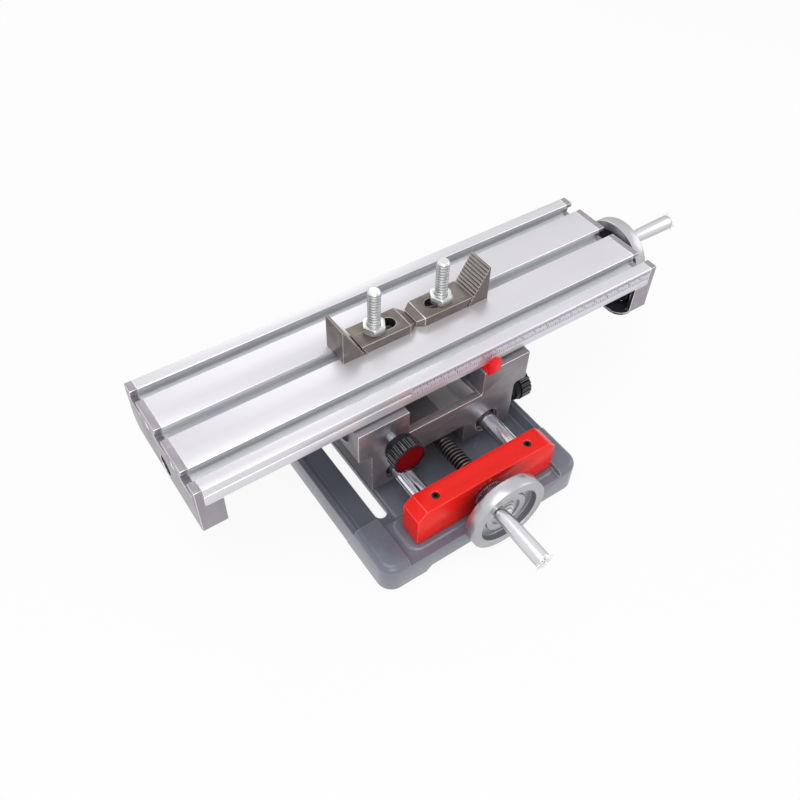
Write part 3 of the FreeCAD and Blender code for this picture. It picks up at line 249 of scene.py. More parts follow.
class Effects:
    """Node groups that several finishes share."""

    def __init__(self) -> None:
        """Build every group once."""
        self.grain = self._grain()
        self.clouds = self._clouds()
        self.peel = self._peel()
        self.scuffs = self._scuffs()
        self.rings = self._rings()

    @staticmethod
    def _grain() -> bpy.types.NodeTree:
        """Fine parallel machining lines.

        Returns:
            The group; its Scale stretches the lines per axis.
        """
        sheet, source, target = effect_group(
            "machining_grain", {"Vector": None, "Scale": (1.0, 1.0, 1.0)}, ("Mask", "Height"))
        moved = sheet.add("ShaderNodeMapping", {"vector_type": "POINT"}, Vector=source["Vector"],
                          Scale=source["Scale"])
        fine = sheet.add("ShaderNodeTexNoise", None, Vector=moved.outputs[0], Scale=1.0, Detail=5.0,
                         Roughness=0.7)
        broad = sheet.add("ShaderNodeTexNoise", None, Vector=moved.outputs[0], Scale=0.13,
                          Detail=2.0, Roughness=0.5)
        broad_share = 0.5
        height = sheet.maths("MULTIPLY_ADD", broad.outputs["Fac"], broad_share, fine.outputs["Fac"])
        sheet.put(target["Mask"], sheet.maths("SUBTRACT", height, 0.5 * broad_share))
        sheet.put(target["Height"], height)
        return sheet.tree

    @staticmethod
    def _clouds() -> bpy.types.NodeTree:
        """Soft large patches of lighter and darker tone.

        Returns:
            The group; its Size is the number of patches per metre.
        """
        sheet, source, target = effect_group(
            "tone_clouds", {"Vector": None, "Size": 30.0}, ("Mask",))
        noise = sheet.add("ShaderNodeTexNoise", None, Vector=source["Vector"], Scale=source["Size"],
                          Detail=3.0, Roughness=0.55, Distortion=0.3)
        sheet.put(target["Mask"], sheet.spread(noise.outputs["Fac"], *NOISE_RANGE))
        return sheet.tree

    @staticmethod
    def _peel() -> bpy.types.NodeTree:
        """Height of sprayed paint or cast skin.

        Returns:
            The group; its Size is the number of grains per metre.
        """
        sheet, source, target = effect_group(
            "cast_skin", {"Vector": None, "Size": 900.0}, ("Height",))
        noise = sheet.add("ShaderNodeTexNoise", None, Vector=source["Vector"], Scale=source["Size"],
                          Detail=3.0, Roughness=0.6)
        pits = sheet.add("ShaderNodeTexVoronoi", {"feature": "SMOOTH_F1"}, Vector=source["Vector"],
                         Scale=sheet.maths("MULTIPLY", source["Size"], 0.6), Smoothness=0.6)
        pit_share = 0.5
        sheet.put(target["Height"],
                  sheet.maths("MULTIPLY_ADD", pits.outputs[0], pit_share, noise.outputs["Fac"]))
        return sheet.tree

    @staticmethod
    def _scuffs() -> bpy.types.NodeTree:
        """Sparse short scratches, kept to rubbed spots.

        Returns:
            The group; its Amount is how strong the marks are.
        """
        sheet, source, target = effect_group(
            "scuff_marks", {"Vector": None, "Size": 60.0, "Amount": 0.5}, ("Mask",))
        turned = sheet.add("ShaderNodeMapping", {"vector_type": "POINT"}, Vector=source["Vector"],
                           Rotation=(0.4, 0.7, 0.5), Scale=(1.0, 9.0, 3.0))
        lines = sheet.add("ShaderNodeTexNoise", None, Vector=turned.outputs[0],
                          Scale=source["Size"], Detail=2.0, Roughness=0.5)
        spots = sheet.add("ShaderNodeTexNoise", None, Vector=source["Vector"], Scale=source["Size"],
                          Detail=2.0)
        line_range, spot_range = (0.60, 0.68), (0.5, 0.62)
        both = sheet.maths("MULTIPLY", sheet.spread(lines.outputs["Fac"], *line_range),
                           sheet.spread(spots.outputs["Fac"], *spot_range))
        sheet.put(target["Mask"], sheet.maths("MULTIPLY", both, source["Amount"]))
        return sheet.tree

    @staticmethod
    def _rings() -> bpy.types.NodeTree:
        """Fine rings left by turning, round Centre.

        Returns:
            The group; its Across is 0 along the turning axis and 1 across it.
        """
        sheet, source, target = effect_group(
            "turning_rings", {"Vector": None, "Centre": (0.0, 0.0, 0.0), "Across": (1.0, 1.0, 0.0),
                              "Lines": 3000.0}, ("Mask", "Height"))
        away = sheet.add("ShaderNodeVectorMath", {"operation": "SUBTRACT"}, n0=source["Vector"],
                         n1=source["Centre"]).outputs[0]
        flat = sheet.add("ShaderNodeVectorMath", {"operation": "MULTIPLY"}, n0=away,
                         n1=source["Across"]).outputs[0]
        along = sheet.add("ShaderNodeVectorMath", {"operation": "SUBTRACT"}, n0=away,
                          n1=flat).outputs[0]
        reach, depth = (sheet.add("ShaderNodeVectorMath", {"operation": "LENGTH"},
                                  n0=part).outputs["Value"] for part in (flat, along))
        place = sheet.maths("MULTIPLY", sheet.maths("ADD", reach, depth), source["Lines"])
        lines = sheet.add("ShaderNodeTexNoise", {"noise_dimensions": "1D"}, W=place, Scale=1.0,
                          Detail=3.0, Roughness=0.6)
        sheet.put(target["Mask"], sheet.spread(lines.outputs["Fac"], *NOISE_RANGE))
        sheet.put(target["Height"], lines.outputs["Fac"])
        return sheet.tree


@dataclass(frozen=True)
class Finish:
    """One surface finish.

    colour and dark are the two tones that the clouds mix, with cloud_size patches per metre. grain
    holds the scale of the machining lines per axis, per metre. rings holds the centre and the axes
    across the turning axis of a turned piece. grain_tone and grain_bump are how much either shows
    as tone and as relief. skin is how much the grain of sprayed paint or moulded plastic stands
    out, with skin_size grains per metre. scuffs is how strong rubbed marks are, and limb_shade how
    much painted shade darkens the colour where the surface turns away from the view.
    """

    name: str
    colour: Colour
    dark: Colour
    metallic: float = 0.0
    roughness: float = 0.4
    rough_spread: float = 0.08
    grain: Optional[Place] = None
    grain_tone: float = 0.0
    grain_bump: float = 0.0
    rings: Optional[tuple[Place, Place]] = None
    skin: float = 0.0
    skin_size: float = 900.0
    cloud_size: float = 30.0
    scuffs: float = 0.0
    # Strength of the painted shade where the surface turns away from the view.
    limb_shade: float = 0.0
    coat: float = 0.0
    coat_roughness: float = 0.05
    specular: float = 0.5

    line_height: ClassVar[float] = 0.0002
    skin_height: ClassVar[float] = 0.0003
    least_roughness: ClassVar[float] = 0.02
    line_range: ClassVar[Point] = (0.2, 0.8)
    limb_shade_range: ClassVar[Point] = (0.3, 0.9)
    rubbed_gain: ClassVar[float] = 1.25
    rubbed_lift: ClassVar[float] = 0.08

    def material(self, effects: Effects) -> bpy.types.Material:
        """Build the material.

        Args:
            effects: the shared node groups.

        Returns:
            A procedural material on Object coordinates.
        """
        made = bpy.data.materials.new(self.name)
        sheet = fresh_sheet(made)
        where = sheet.add("ShaderNodeTexCoord").outputs["Object"]
        clouds = sheet.add("ShaderNodeGroup", {"node_tree": effects.clouds}, Vector=where,
                           Size=self.cloud_size).outputs["Mask"]
        colour = sheet.mix(clouds, rgba(self.dark), rgba(self.colour))
        rough = sheet.spread(clouds, 0.0, 1.0, self.roughness + self.rough_spread,
                             max(self.least_roughness, self.roughness - self.rough_spread))
        normal = None
        lines = self._lines(sheet, where, effects)
        if lines:
            mask, tone, swing = lines.outputs["Mask"], self.grain_tone, 0.5 * self.rough_spread
            shade = sheet.spread(mask, *self.line_range, 1.0 - tone, 1.0 + tone)
            colour = sheet.shaded(colour, shade)
            rough = sheet.maths("ADD", rough, sheet.spread(mask, *self.line_range, -swing, swing))
            normal = self._bump(sheet, self.grain_bump, self.line_height, lines)
        if self.skin:
            skin = sheet.add("ShaderNodeGroup", {"node_tree": effects.peel}, Vector=where,
                             Size=self.skin_size)
            normal = self._bump(sheet, self.skin, self.skin_height, skin)
        if self.scuffs:
            marks = sheet.add("ShaderNodeGroup", {"node_tree": effects.scuffs}, Vector=where,
                              Amount=self.scuffs)
            colour = sheet.mix(marks.outputs["Mask"], colour, rgba(self._rubbed()))
        # Painted shade: the colour darkens where the surface turns away from the view, standing in
        # for dark reflections.
        if self.limb_shade:
            facing = sheet.add("ShaderNodeLayerWeight", None, Blend=0.5).outputs["Facing"]
            colour = sheet.shaded(colour, sheet.spread(facing, *self.limb_shade_range, 1.0,
                                                       1.0 - self.limb_shade))
        shader = sheet.add("ShaderNodeBsdfPrincipled", None, Base_Color=colour,
                           Metallic=self.metallic, Roughness=rough, Coat_Weight=self.coat,
                           Coat_Roughness=self.coat_roughness, Specular_IOR_Level=self.specular)
        if normal is not None:
            sheet.put(shader.inputs["Normal"], normal)
        sheet.surface("ShaderNodeOutputMaterial", shader.outputs[0])
        return made

    def _lines(self, sheet: Sheet, where: bpy.types.NodeSocket,
               effects: Effects) -> Optional[bpy.types.Node]:
        """Add the finish's machining lines or turning rings.

        Args:
            sheet: the material's sheet.
            where: Object coordinates.
            effects: the shared node groups.

        Returns:
            The group's node, or None for a finish with neither.
        """
        if self.rings:
            centre, across = self.rings
            return sheet.add("ShaderNodeGroup", {"node_tree": effects.rings}, Vector=where,
                             Centre=tuple(part * MM for part in centre), Across=across)
        if self.grain:
            return sheet.add("ShaderNodeGroup", {"node_tree": effects.grain}, Vector=where,
                             Scale=self.grain)
        return None

    @staticmethod
    def _bump(sheet: Sheet, strength: float, height: float,
              relief: bpy.types.Node) -> bpy.types.NodeSocket:
        """Add a Bump node.

        Args:
            sheet: the material's sheet.
            strength: how much the relief shows.
            height: its height in metres.
            relief: the group's node that gives it.

        Returns:
            The bumped normal.
        """
        return sheet.add("ShaderNodeBump", None, Strength=strength, Distance=height,
                         Height=relief.outputs["Height"]).outputs[0]

    def _rubbed(self) -> Colour:
        """Lighter tone of rubbed spots."""
        return tuple(min(1.0, self.rubbed_gain * part + self.rubbed_lift) for part in self.colour)


TABLE_TOP = Finish("anodised_table", (0.72, 0.707, 0.745), (0.68, 0.667, 0.705), metallic=0.5,
                   roughness=0.36, grain=(60.0, 4000.0, 4000.0), grain_tone=0.025, grain_bump=0.05,
                   cloud_size=9.0, rough_spread=0.03)
# Painted highlight: lighter, glossier tone on the rounded edges of the table plate.
TABLE_EDGE_HIGHLIGHT = Finish("anodised_table_painted_highlight", (0.96, 0.96, 0.97), (0.90, 0.90, 0.92), metallic=0.9,
                    roughness=0.22, cloud_size=200.0)
# Painted light and shade in the table's slots: the near-white floor of the outer slots is painted
# light, their darker walls are painted shade.
SLOT_FLOOR_LIGHT = Finish("anodised_slot_floor_painted_light", (0.96, 0.98, 1.0), (0.92, 0.95, 0.98), metallic=0.0,
                    roughness=0.4, cloud_size=12.0, rough_spread=0.04)
SLOT_WALL_SHADE = Finish("anodised_slot_wall_painted_shade", (0.52, 0.52, 0.55), (0.46, 0.46, 0.49), metallic=0.1,
                   roughness=0.35, cloud_size=20.0, rough_spread=0.04)
# Painted light: the middle slot is lightened to stand in for light that reaches it.
SLOT_MIDDLE_LIGHT = replace(SLOT_WALL_SHADE, name="anodised_middle_slot_painted_light", colour=(0.74, 0.745, 0.78),
                      dark=(0.68, 0.685, 0.72))
BRACKET = Finish("ground_bracket", (0.36, 0.335, 0.37), (0.30, 0.28, 0.31), metallic=0.6,
                 roughness=0.4, grain=(3000.0, 90.0, 3000.0), grain_tone=0.06, grain_bump=0.08,
                 cloud_size=40.0, scuffs=0.3)
# Painted highlight on the rounded edges of the brackets.
BRACKET_EDGE_HIGHLIGHT = Finish("ground_bracket_painted_highlight", (0.88, 0.86, 0.88), (0.66, 0.63, 0.66), metallic=0.85,
                      roughness=0.24, cloud_size=300.0)
# Painted shade: near-black on the faces inside the brackets' hollows.
BRACKET_HOLLOW_SHADE = Finish("bracket_hollow_painted_shade", (0.030, 0.032, 0.042), (0.02, 0.021, 0.028),
                        metallic=0.4, roughness=0.45, cloud_size=60.0)
SADDLE = Finish("machined_saddle", (0.27, 0.255, 0.275), (0.21, 0.198, 0.215), metallic=0.6,
                roughness=0.42, grain=(80.0, 2600.0, 2600.0), grain_tone=0.06, grain_bump=0.1,
                cloud_size=45.0, scuffs=0.35)
# Painted light: a much lighter copy of the saddle's finish in the deep pocket, standing in for light
# that reaches it.
POCKET_LIGHT = Finish("machined_pocket_painted_light", (0.85, 0.84, 0.87), (0.72, 0.71, 0.74), metallic=0.2,
                roughness=0.4, grain=(2600.0, 90.0, 2600.0), grain_tone=0.08, grain_bump=0.1,
                cloud_size=45.0)
# Painted highlight on the rounded edges of the saddle.
SADDLE_EDGE_HIGHLIGHT = Finish("machined_saddle_painted_highlight", (0.92, 0.91, 0.91), (0.62, 0.61, 0.61), metallic=0.85,
                     roughness=0.24, cloud_size=400.0)
BASE_PAINT = Finish("slate_paint", (0.168, 0.178, 0.224), (0.146, 0.157, 0.200), roughness=0.30,
                    skin=0.015, skin_size=500.0, coat=0.35, coat_roughness=0.16, cloud_size=20.0)
# Painted light: a lighter copy of the slate paint on the inner slope of the left rim.
BASE_SLOPE_LIGHT = Finish("slate_paint_slope_painted_light", (0.25, 0.265, 0.32), (0.215, 0.23, 0.28), roughness=0.35,
                    coat=0.2, coat_roughness=0.16, cloud_size=20.0)
# Painted highlight on the rounded edges of the base.
BASE_EDGE_HIGHLIGHT = Finish("slate_paint_painted_highlight", (0.31, 0.315, 0.365), (0.22, 0.225, 0.27), roughness=0.22,
                   coat=0.8, coat_roughness=0.06, cloud_size=120.0)
RED_PAINT = Finish("red_paint", (0.94, 0.020, 0.014), (0.88, 0.017, 0.012), roughness=0.3,
                   skin=0.03, skin_size=350.0, cloud_size=25.0, specular=0.2)
# Painted highlight on the rounded edges of the red blocks.
RED_EDGE_HIGHLIGHT = Finish("red_paint_painted_highlight", (0.95, 0.05, 0.035), (0.90, 0.03, 0.02), roughness=0.2,
                  coat=0.4, coat_roughness=0.05, cloud_size=200.0)
# limb_shade darkens the rods toward their outline as painted shade.
CHROME = Finish("chrome_rod", (0.84, 0.85, 0.91), (0.80, 0.81, 0.87), metallic=0.95,
                roughness=0.14, rough_spread=0.02, cloud_size=60.0, limb_shade=0.5)
BRONZE = Finish("bush_bronze", (0.46, 0.32, 0.16), (0.36, 0.25, 0.12), metallic=0.9,
                roughness=0.35, cloud_size=200.0)
BLACK_STEEL = Finish("black_oxide", (0.035, 0.035, 0.038), (0.02, 0.02, 0.022), metallic=0.6,
                     roughness=0.35, cloud_size=300.0)
# limb_shade darkens zinc parts toward their outline as painted shade.
ZINC = Finish("zinc_plate", (0.78, 0.79, 0.78), (0.68, 0.69, 0.68), metallic=0.8, roughness=0.25,
              cloud_size=250.0, limb_shade=0.35)
# Painted shade in the roots of the clamp bolts' thread.
ZINC_ROOT_SHADE = Finish("zinc_plate_root_painted_shade", (0.40, 0.41, 0.41), (0.30, 0.31, 0.31), metallic=0.8,
                   roughness=0.3, cloud_size=250.0)
BLACK_PLASTIC = Finish("black_plastic", (0.010, 0.010, 0.013), (0.008, 0.008, 0.010),
                       roughness=0.2, skin=0.02, skin_size=1800.0, specular=0.16)
# Painted highlight: lighter, glossy tone on the edges of the knob's ridges.
BLACK_RIDGE_HIGHLIGHT = Finish("black_plastic_painted_highlight", (0.10, 0.10, 0.12), (0.03, 0.03, 0.04), roughness=0.15,
                     coat=0.8, coat_roughness=0.06, cloud_size=250.0)
CAP_RED = Finish("cap_red", (0.105, 0.002, 0.005), (0.08, 0.002, 0.004), roughness=0.14,
                 specular=0.2)
POINTER_RED = Finish("pointer_red", (0.95, 0.006, 0.016), (0.90, 0.005, 0.012), roughness=0.35,
                     cloud_size=150.0, specular=0.2)
# limb_shade darkens turned parts toward their outline as painted shade.
TURNED = Finish("turned_aluminium", (0.54, 0.535, 0.56), (0.49, 0.485, 0.51), metallic=0.85,
                roughness=0.3, cloud_size=60.0, grain_tone=0.05, grain_bump=0.05,
                rough_spread=0.04, limb_shade=0.3)
# Painted shade: dark rear of the web inside the wheel's recess.
WHEEL_RECESS_SHADE = Finish("wheel_recess_painted_shade", (0.075, 0.074, 0.085), (0.05, 0.05, 0.06), metallic=0.6,
                      roughness=0.4, cloud_size=80.0)
# Painted shade on the inner wall of the wheel's rim.
WHEEL_WALL_SHADE = Finish("shaded_wheel_wall", (0.26, 0.27, 0.30), (0.21, 0.22, 0.25), metallic=0.7,
                    roughness=0.35, cloud_size=80.0)
# limb_shade darkens the grips toward their outline as painted shade.
HANDLE = Finish("handle_aluminium", (0.72, 0.72, 0.75), (0.67, 0.67, 0.70), metallic=0.9,
                roughness=0.24, cloud_size=60.0, grain_tone=0.04, grain_bump=0.04,
                rough_spread=0.04, limb_shade=0.55)
POLISHED = Finish("bright_chrome", (0.80, 0.80, 0.81), (0.72, 0.72, 0.73), metallic=1.0,
                  roughness=0.08, rough_spread=0.03, cloud_size=300.0)
DIAL_METAL = Finish("dial_satin", (0.17, 0.165, 0.18), (0.13, 0.125, 0.14), metallic=0.8,
                    roughness=0.3, cloud_size=200.0)
# Painted shade in the roots of the leadscrew's thread.
SCREW_ROOT_SHADE = Finish("leadscrew_root_painted_shade", (0.055, 0.05, 0.05), (0.035, 0.032, 0.032), metallic=0.8,
                    roughness=0.35, cloud_size=400.0)
# Steel tone of the thread's crest, lightened as painted highlight.
SCREW_CREST_HIGHLIGHT = Finish("leadscrew_crest_painted_highlight", (0.56, 0.50, 0.45), (0.26, 0.23, 0.20), metallic=0.9,
                     roughness=0.26, cloud_size=1400.0)
CLAMP = Finish("phosphated_steel", (0.215, 0.188, 0.172), (0.150, 0.130, 0.120), metallic=0.7,
               roughness=0.38, grain=(2600.0, 90.0, 2600.0), grain_tone=0.10, grain_bump=0.15,
               cloud_size=90.0, scuffs=0.5)
# Painted highlight on the rounded edges of the straps and step blocks.
CLAMP_EDGE_HIGHLIGHT = Finish("phosphated_steel_painted_highlight", (0.70, 0.66, 0.62), (0.44, 0.41, 0.38), metallic=0.85,
                    roughness=0.26, cloud_size=500.0)
# Painted shade: near-black on the walls of the strap's long hole.
STRAP_HOLE_SHADE = Finish("strap_hole_painted_shade", (0.030, 0.029, 0.030), (0.02, 0.02, 0.02), metallic=0.4,
                    roughness=0.5, cloud_size=90.0)
SCALE_FACE = Finish("scale_face", (0.66, 0.64, 0.73), (0.62, 0.60, 0.69), metallic=0.2,
                    roughness=0.4, cloud_size=30.0)
INK = Finish("scale_ink", (0.03, 0.03, 0.045), (0.02, 0.02, 0.03), roughness=0.5, cloud_size=300.0)
WHITE_MARK = Finish("white_mark", (0.88, 0.85, 0.85), (0.80, 0.77, 0.77), roughness=0.45,
                    cloud_size=400.0)


class Palette:
    """Materials by finish, each built once."""

    def __init__(self) -> None:
        """Build the shared effects."""
        self.effects = Effects()
        self.made: dict[str, bpy.types.Material] = {}

    def __call__(self, finish: Finish) -> bpy.types.Material:
        """Look up the material of a finish, and build it the first time.

        Args:
            finish: the finish.

        Returns:
            Its material.
        """
        if finish.name not in self.made:
            self.made[finish.name] = finish.material(self.effects)
        return self.made[finish.name]


def placed(origin: Sequence[float], direction: Vector) -> Matrix:
    """Matrix that puts a piece made along +Z at an origin in millimetres, along a direction."""
    turn = Vector((0.0, 0.0, 1.0)).rotation_difference(direction).to_matrix().to_4x4()
    return Matrix.Translation(Vector(origin) * MM) @ turn


def shifted(profile: Iterable[Point], along: float) -> list[Point]:
    """Turned outline moved along its axis."""
    return [(radius, distance + along) for radius, distance in profile]


def is_inside(spot: Vector, box: Box) -> bool:
    """Whether a point lies inside a box."""
    return all(low < value < high for value, low, high in zip(spot, *box))


def picked(items: Iterable[object], kind: type) -> list:
    """Those of an operator's results that are of one kind."""
    return [item for item in items if isinstance(item, kind)]


def join_part(mesh: Mesh, part: Mesh, where: Matrix, material: Optional[int] = None) -> None:
    """Move a finished part into a mesh and free it.

    Args:
        mesh: the mesh that gets the part.
        part: the part, freed here.
        where: matrix that places it.
        material: index given to all its faces, or None to keep theirs.
    """
    bmesh.ops.transform(part, matrix=where, verts=part.verts[:])
    if material is not None:
        for face in part.faces:
            face.material_index = material
    holder = bpy.data.meshes.new("part_holder")
    part.to_mesh(holder)
    part.free()
    mesh.from_mesh(holder)
    bpy.data.meshes.remove(holder)


def add_block(mesh: Mesh, where: Matrix, middle: Sequence[float], size: Sequence[float],
              material: int = 0) -> None:
    """Add a block.

    Args:
        mesh: the mesh that gets it.
        where: matrix of the place that the middle is measured from.
        middle: its middle there, in millimetres.
        size: its three lengths.
        material: material index of its faces.
    """
    spot = Matrix.Translation(Vector(middle) * MM) @ Matrix.Diagonal((*(Vector(size) * MM), 1.0))
    corners = bmesh.ops.create_cube(mesh, size=1.0, matrix=where @ spot)["verts"]
    for face in {face for corner in corners for face in corner.link_faces}:
        face.material_index = material


def add_turned(mesh: Mesh, profile: Sequence[Point], where: Matrix, steps: int = 96,
               material: int = 0) -> None:
    """Add a turned solid.

    Args:
        mesh: the mesh that gets it.
        profile: closed outline as (radius, distance) in millimetres.
        where: matrix from the turning axis, +Z, to its place.
        steps: divisions round the axis.
        material: material index of its faces.
    """
    part = bmesh.new()
    verts = [part.verts.new((radius * MM, 0.0, along * MM)) for radius, along in profile]
    edges = [part.edges.new(pair) for pair in zip(verts, verts[1:] + verts[:1])
             if any(vert.co.x > 0.0 for vert in pair)]
    bmesh.ops.spin(part, geom=verts + edges, cent=(0, 0, 0), axis=(0, 0, 1), dvec=(0, 0, 0),
                   angle=math.tau, steps=steps, use_merge=True)
    bmesh.ops.remove_doubles(part, verts=part.verts[:], dist=WELD)
    bmesh.ops.recalc_face_normals(part, faces=part.faces[:])
    join_part(mesh, part, where, material)


def raised_disc(radius: float, divisions: int, shrink: Callable[[float], float], low: float,
                high: float, crown: Iterable[Point]) -> tuple[Mesh, list]:
    """Make a disc with a shaped rim and a stepped crown.

    Args:
        radius: largest radius.
        divisions: corners of the rim.
        shrink: share of the radius by angle.
        low: foot along the axis.
        high: top of the straight rim.
        crown: steps above it as (inset, rise).

    Returns:
        The part and its innermost top faces.
    """
    part = bmesh.new()
    bmesh.ops.create_circle(part, cap_ends=True, segments=divisions, radius=radius * MM)
    for vert in part.verts:
        vert.co *= shrink(math.atan2(vert.co.y, vert.co.x))
    bmesh.ops.translate(part, verts=part.verts[:], vec=(0, 0, low * MM))
    raised = bmesh.ops.extrude_face_region(part, geom=part.faces[:])["geom"]
    bmesh.ops.translate(part, verts=picked(raised, bmesh.types.BMVert),
                        vec=(0, 0, (high - low) * MM))
    top = picked(raised, bmesh.types.BMFace)
    for inset, rise in crown:
        bmesh.ops.inset_region(part, faces=top, thickness=inset * MM, depth=rise * MM,
                               use_even_offset=True)
    return part, top


@dataclass(frozen=True)
class Rounding:
    """Rounded edges: width in millimetres, divisions, and degrees from which an edge is sharp."""

    width: float
    segments: int = 2
    angle: float = 40.0
    farthest: ClassVar[float] = 1.5

    def apply(self, mesh: Mesh, material: int = 1) -> None:
        """Round the sharp edges of a mesh; a corner that shoots out goes back to the old surface.

        Args:
            mesh: the mesh.
            material: material index of the rounding, which carries a painted highlight in most
                pieces.
        """
        limit = math.radians(self.angle)
        chosen = [edge for edge in mesh.edges
                  if len(edge.link_faces) == 2 and edge.calc_face_angle(0.0) > limit]
        before = BVHTree.FromBMesh(mesh)
        bmesh.ops.bevel(mesh, geom=chosen, offset=self.width * MM, offset_type="OFFSET",
                        segments=self.segments, profile=0.5, affect="EDGES", material=material,
                        clamp_overlap=False, loop_slide=True)
        for vert in mesh.verts:
            spot, _, _, away = before.find_nearest(vert.co)
            if away > self.farthest * self.width * MM:
                vert.co = spot


@dataclass
class Thread:
    """Screw thread with closed ends; root_flat and land are shares of the pitch."""

    crest: float
    depth: float
    pitch: float
    span: Point
    steps: int
    left_hand: bool = False
    land: float = 0.22
    root_flat: float = 0.16
    crest_share: float = 0.1

    def add_to(self, mesh: Mesh, where: Matrix, groove: int, ridge: int) -> None:
        """Add the thread to a mesh.

        Args:
            mesh: the mesh that gets it.
            where: matrix from the axis, +Z, to its place.
            groove: material index of the groove.
            ridge: material index of the crest.
        """
        part = self._turns()
        for height, side in zip(self.span, (-1.0, 1.0)):
            cut = bmesh.ops.bisect_plane(part, geom=part.verts[:] + part.edges[:] + part.faces[:],
                                         plane_co=(0, 0, height * MM), plane_no=(0, 0, side),
                                         clear_outer=True)
            bmesh.ops.contextual_create(part, geom=picked(cut["geom_cut"], bmesh.types.BMEdge))
        bmesh.ops.recalc_face_normals(part, faces=part.faces[:])
        ridge_radius = (self.crest - self.crest_share * self.depth) * MM
        for face in part.faces:
            on_crest = face.calc_center_median().xy.length > ridge_radius
            face.material_index = ridge if on_crest else groove
        join_part(mesh, part, where)

    def _turns(self) -> Mesh:
        """Wind one turn and stack it past both ends of the span.

        Returns:
            The open thread.
        """
        start, end = self.span
        turn = bmesh.new()
        low = start - self.pitch
        root = (1.0 + self.land) / 2
        floor = self.crest - self.depth
        stops = ((self.crest, 0.0), (self.crest, self.land), (floor, root - self.root_flat / 2),
                 (floor, root + self.root_flat / 2), (self.crest, 1.0))
        verts = [turn.verts.new((radius * MM, 0.0, (low + share * self.pitch) * MM))
                 for radius, share in stops]
        edges = [turn.edges.new(pair) for pair in zip(verts, verts[1:])]
        bmesh.ops.spin(turn, geom=verts + edges, cent=(0, 0, 0),
                       axis=(0, 0, -1 if self.left_hand else 1),
                       dvec=(0, 0, self.pitch * MM / self.steps), angle=math.tau, steps=self.steps,
                       use_merge=False)
        holder = bpy.data.meshes.new("thread_turn")
        turn.to_mesh(holder)
        turn.free()
        part = bmesh.new()
        for _ in range(math.ceil((end - start) / self.pitch) + 2):
            part.from_mesh(holder)
            holder.transform(Matrix.Translation((0, 0, self.pitch * MM)))
        bpy.data.meshes.remove(holder)
        bmesh.ops.remove_doubles(part, verts=part.verts[:], dist=LOOSE_WELD)
        return part


def cad_copy(node: str) -> Mesh:
    """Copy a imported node's mesh with its triangles joined up again.

    Args:
        node: the node's name.

    Returns:
        A closed mesh with flat areas merged into single faces.
    """
    mesh = bmesh.new()
    mesh.from_mesh(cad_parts[node].data)
    bmesh.ops.remove_doubles(mesh, verts=mesh.verts[:], dist=LOOSE_WELD)
    bmesh.ops.dissolve_limit(mesh, angle_limit=math.radians(FLAT_DEGREES), verts=mesh.verts[:],
                             edges=mesh.edges[:], use_dissolve_boundaries=False)
    for face in mesh.faces:
        face.material_index = 0
    return mesh


def finish_piece(name: str, mesh: Mesh, materials: Iterable[bpy.types.Material],
                 sharp: float = 32.0) -> bpy.types.Object:
    """Turn a mesh into an object at the origin.

    Args:
        name: the object's name.
        mesh: its mesh, freed here.
        materials: materials in the order of the indices.
        sharp: degrees from which an edge stays sharp in shading.

    Returns:
        The object, linked to the scene.
    """
    data = bpy.data.meshes.new(name)
    mesh.to_mesh(data)
    mesh.free()
    for material in materials:
        data.materials.append(material)
    for polygon in data.polygons:
        polygon.use_smooth = True
    data.set_sharp_from_angle(angle=math.radians(sharp))
    made = bpy.data.objects.new(name, data)
    bpy.context.scene.collection.objects.link(made)
    return made


def add_number(mesh: Mesh, digits: str, size: float, thickness: float, where: Matrix,
               material: int) -> None:
    """Add a number as a thin raised mesh, centred on its place.

    Args:
        mesh: the mesh that gets it.
        digits: the digits.
        size: height of the line in millimetres.
        thickness: how thick they are, in millimetres.
        where: matrix from the flat number, facing +Z, to its place.
        material: material index.
    """
    curve = bpy.data.curves.new("figure", "FONT")
    curve.body = digits
    curve.size = size * MM
    curve.extrude = thickness * MM / 2
    curve.resolution_u = 2
    curve.align_x = "CENTER"
    curve.align_y = "CENTER"
    holder = bpy.data.objects.new("figure", curve)
    data = bpy.data.meshes.new_from_object(holder)
    part = bmesh.new()
    part.from_mesh(data)
    bmesh.ops.remove_doubles(part, verts=part.verts[:], dist=WELD)
    bpy.data.objects.remove(holder)
    bpy.data.curves.remove(curve)
    bpy.data.meshes.remove(data)
    join_part(mesh, part, where, material)


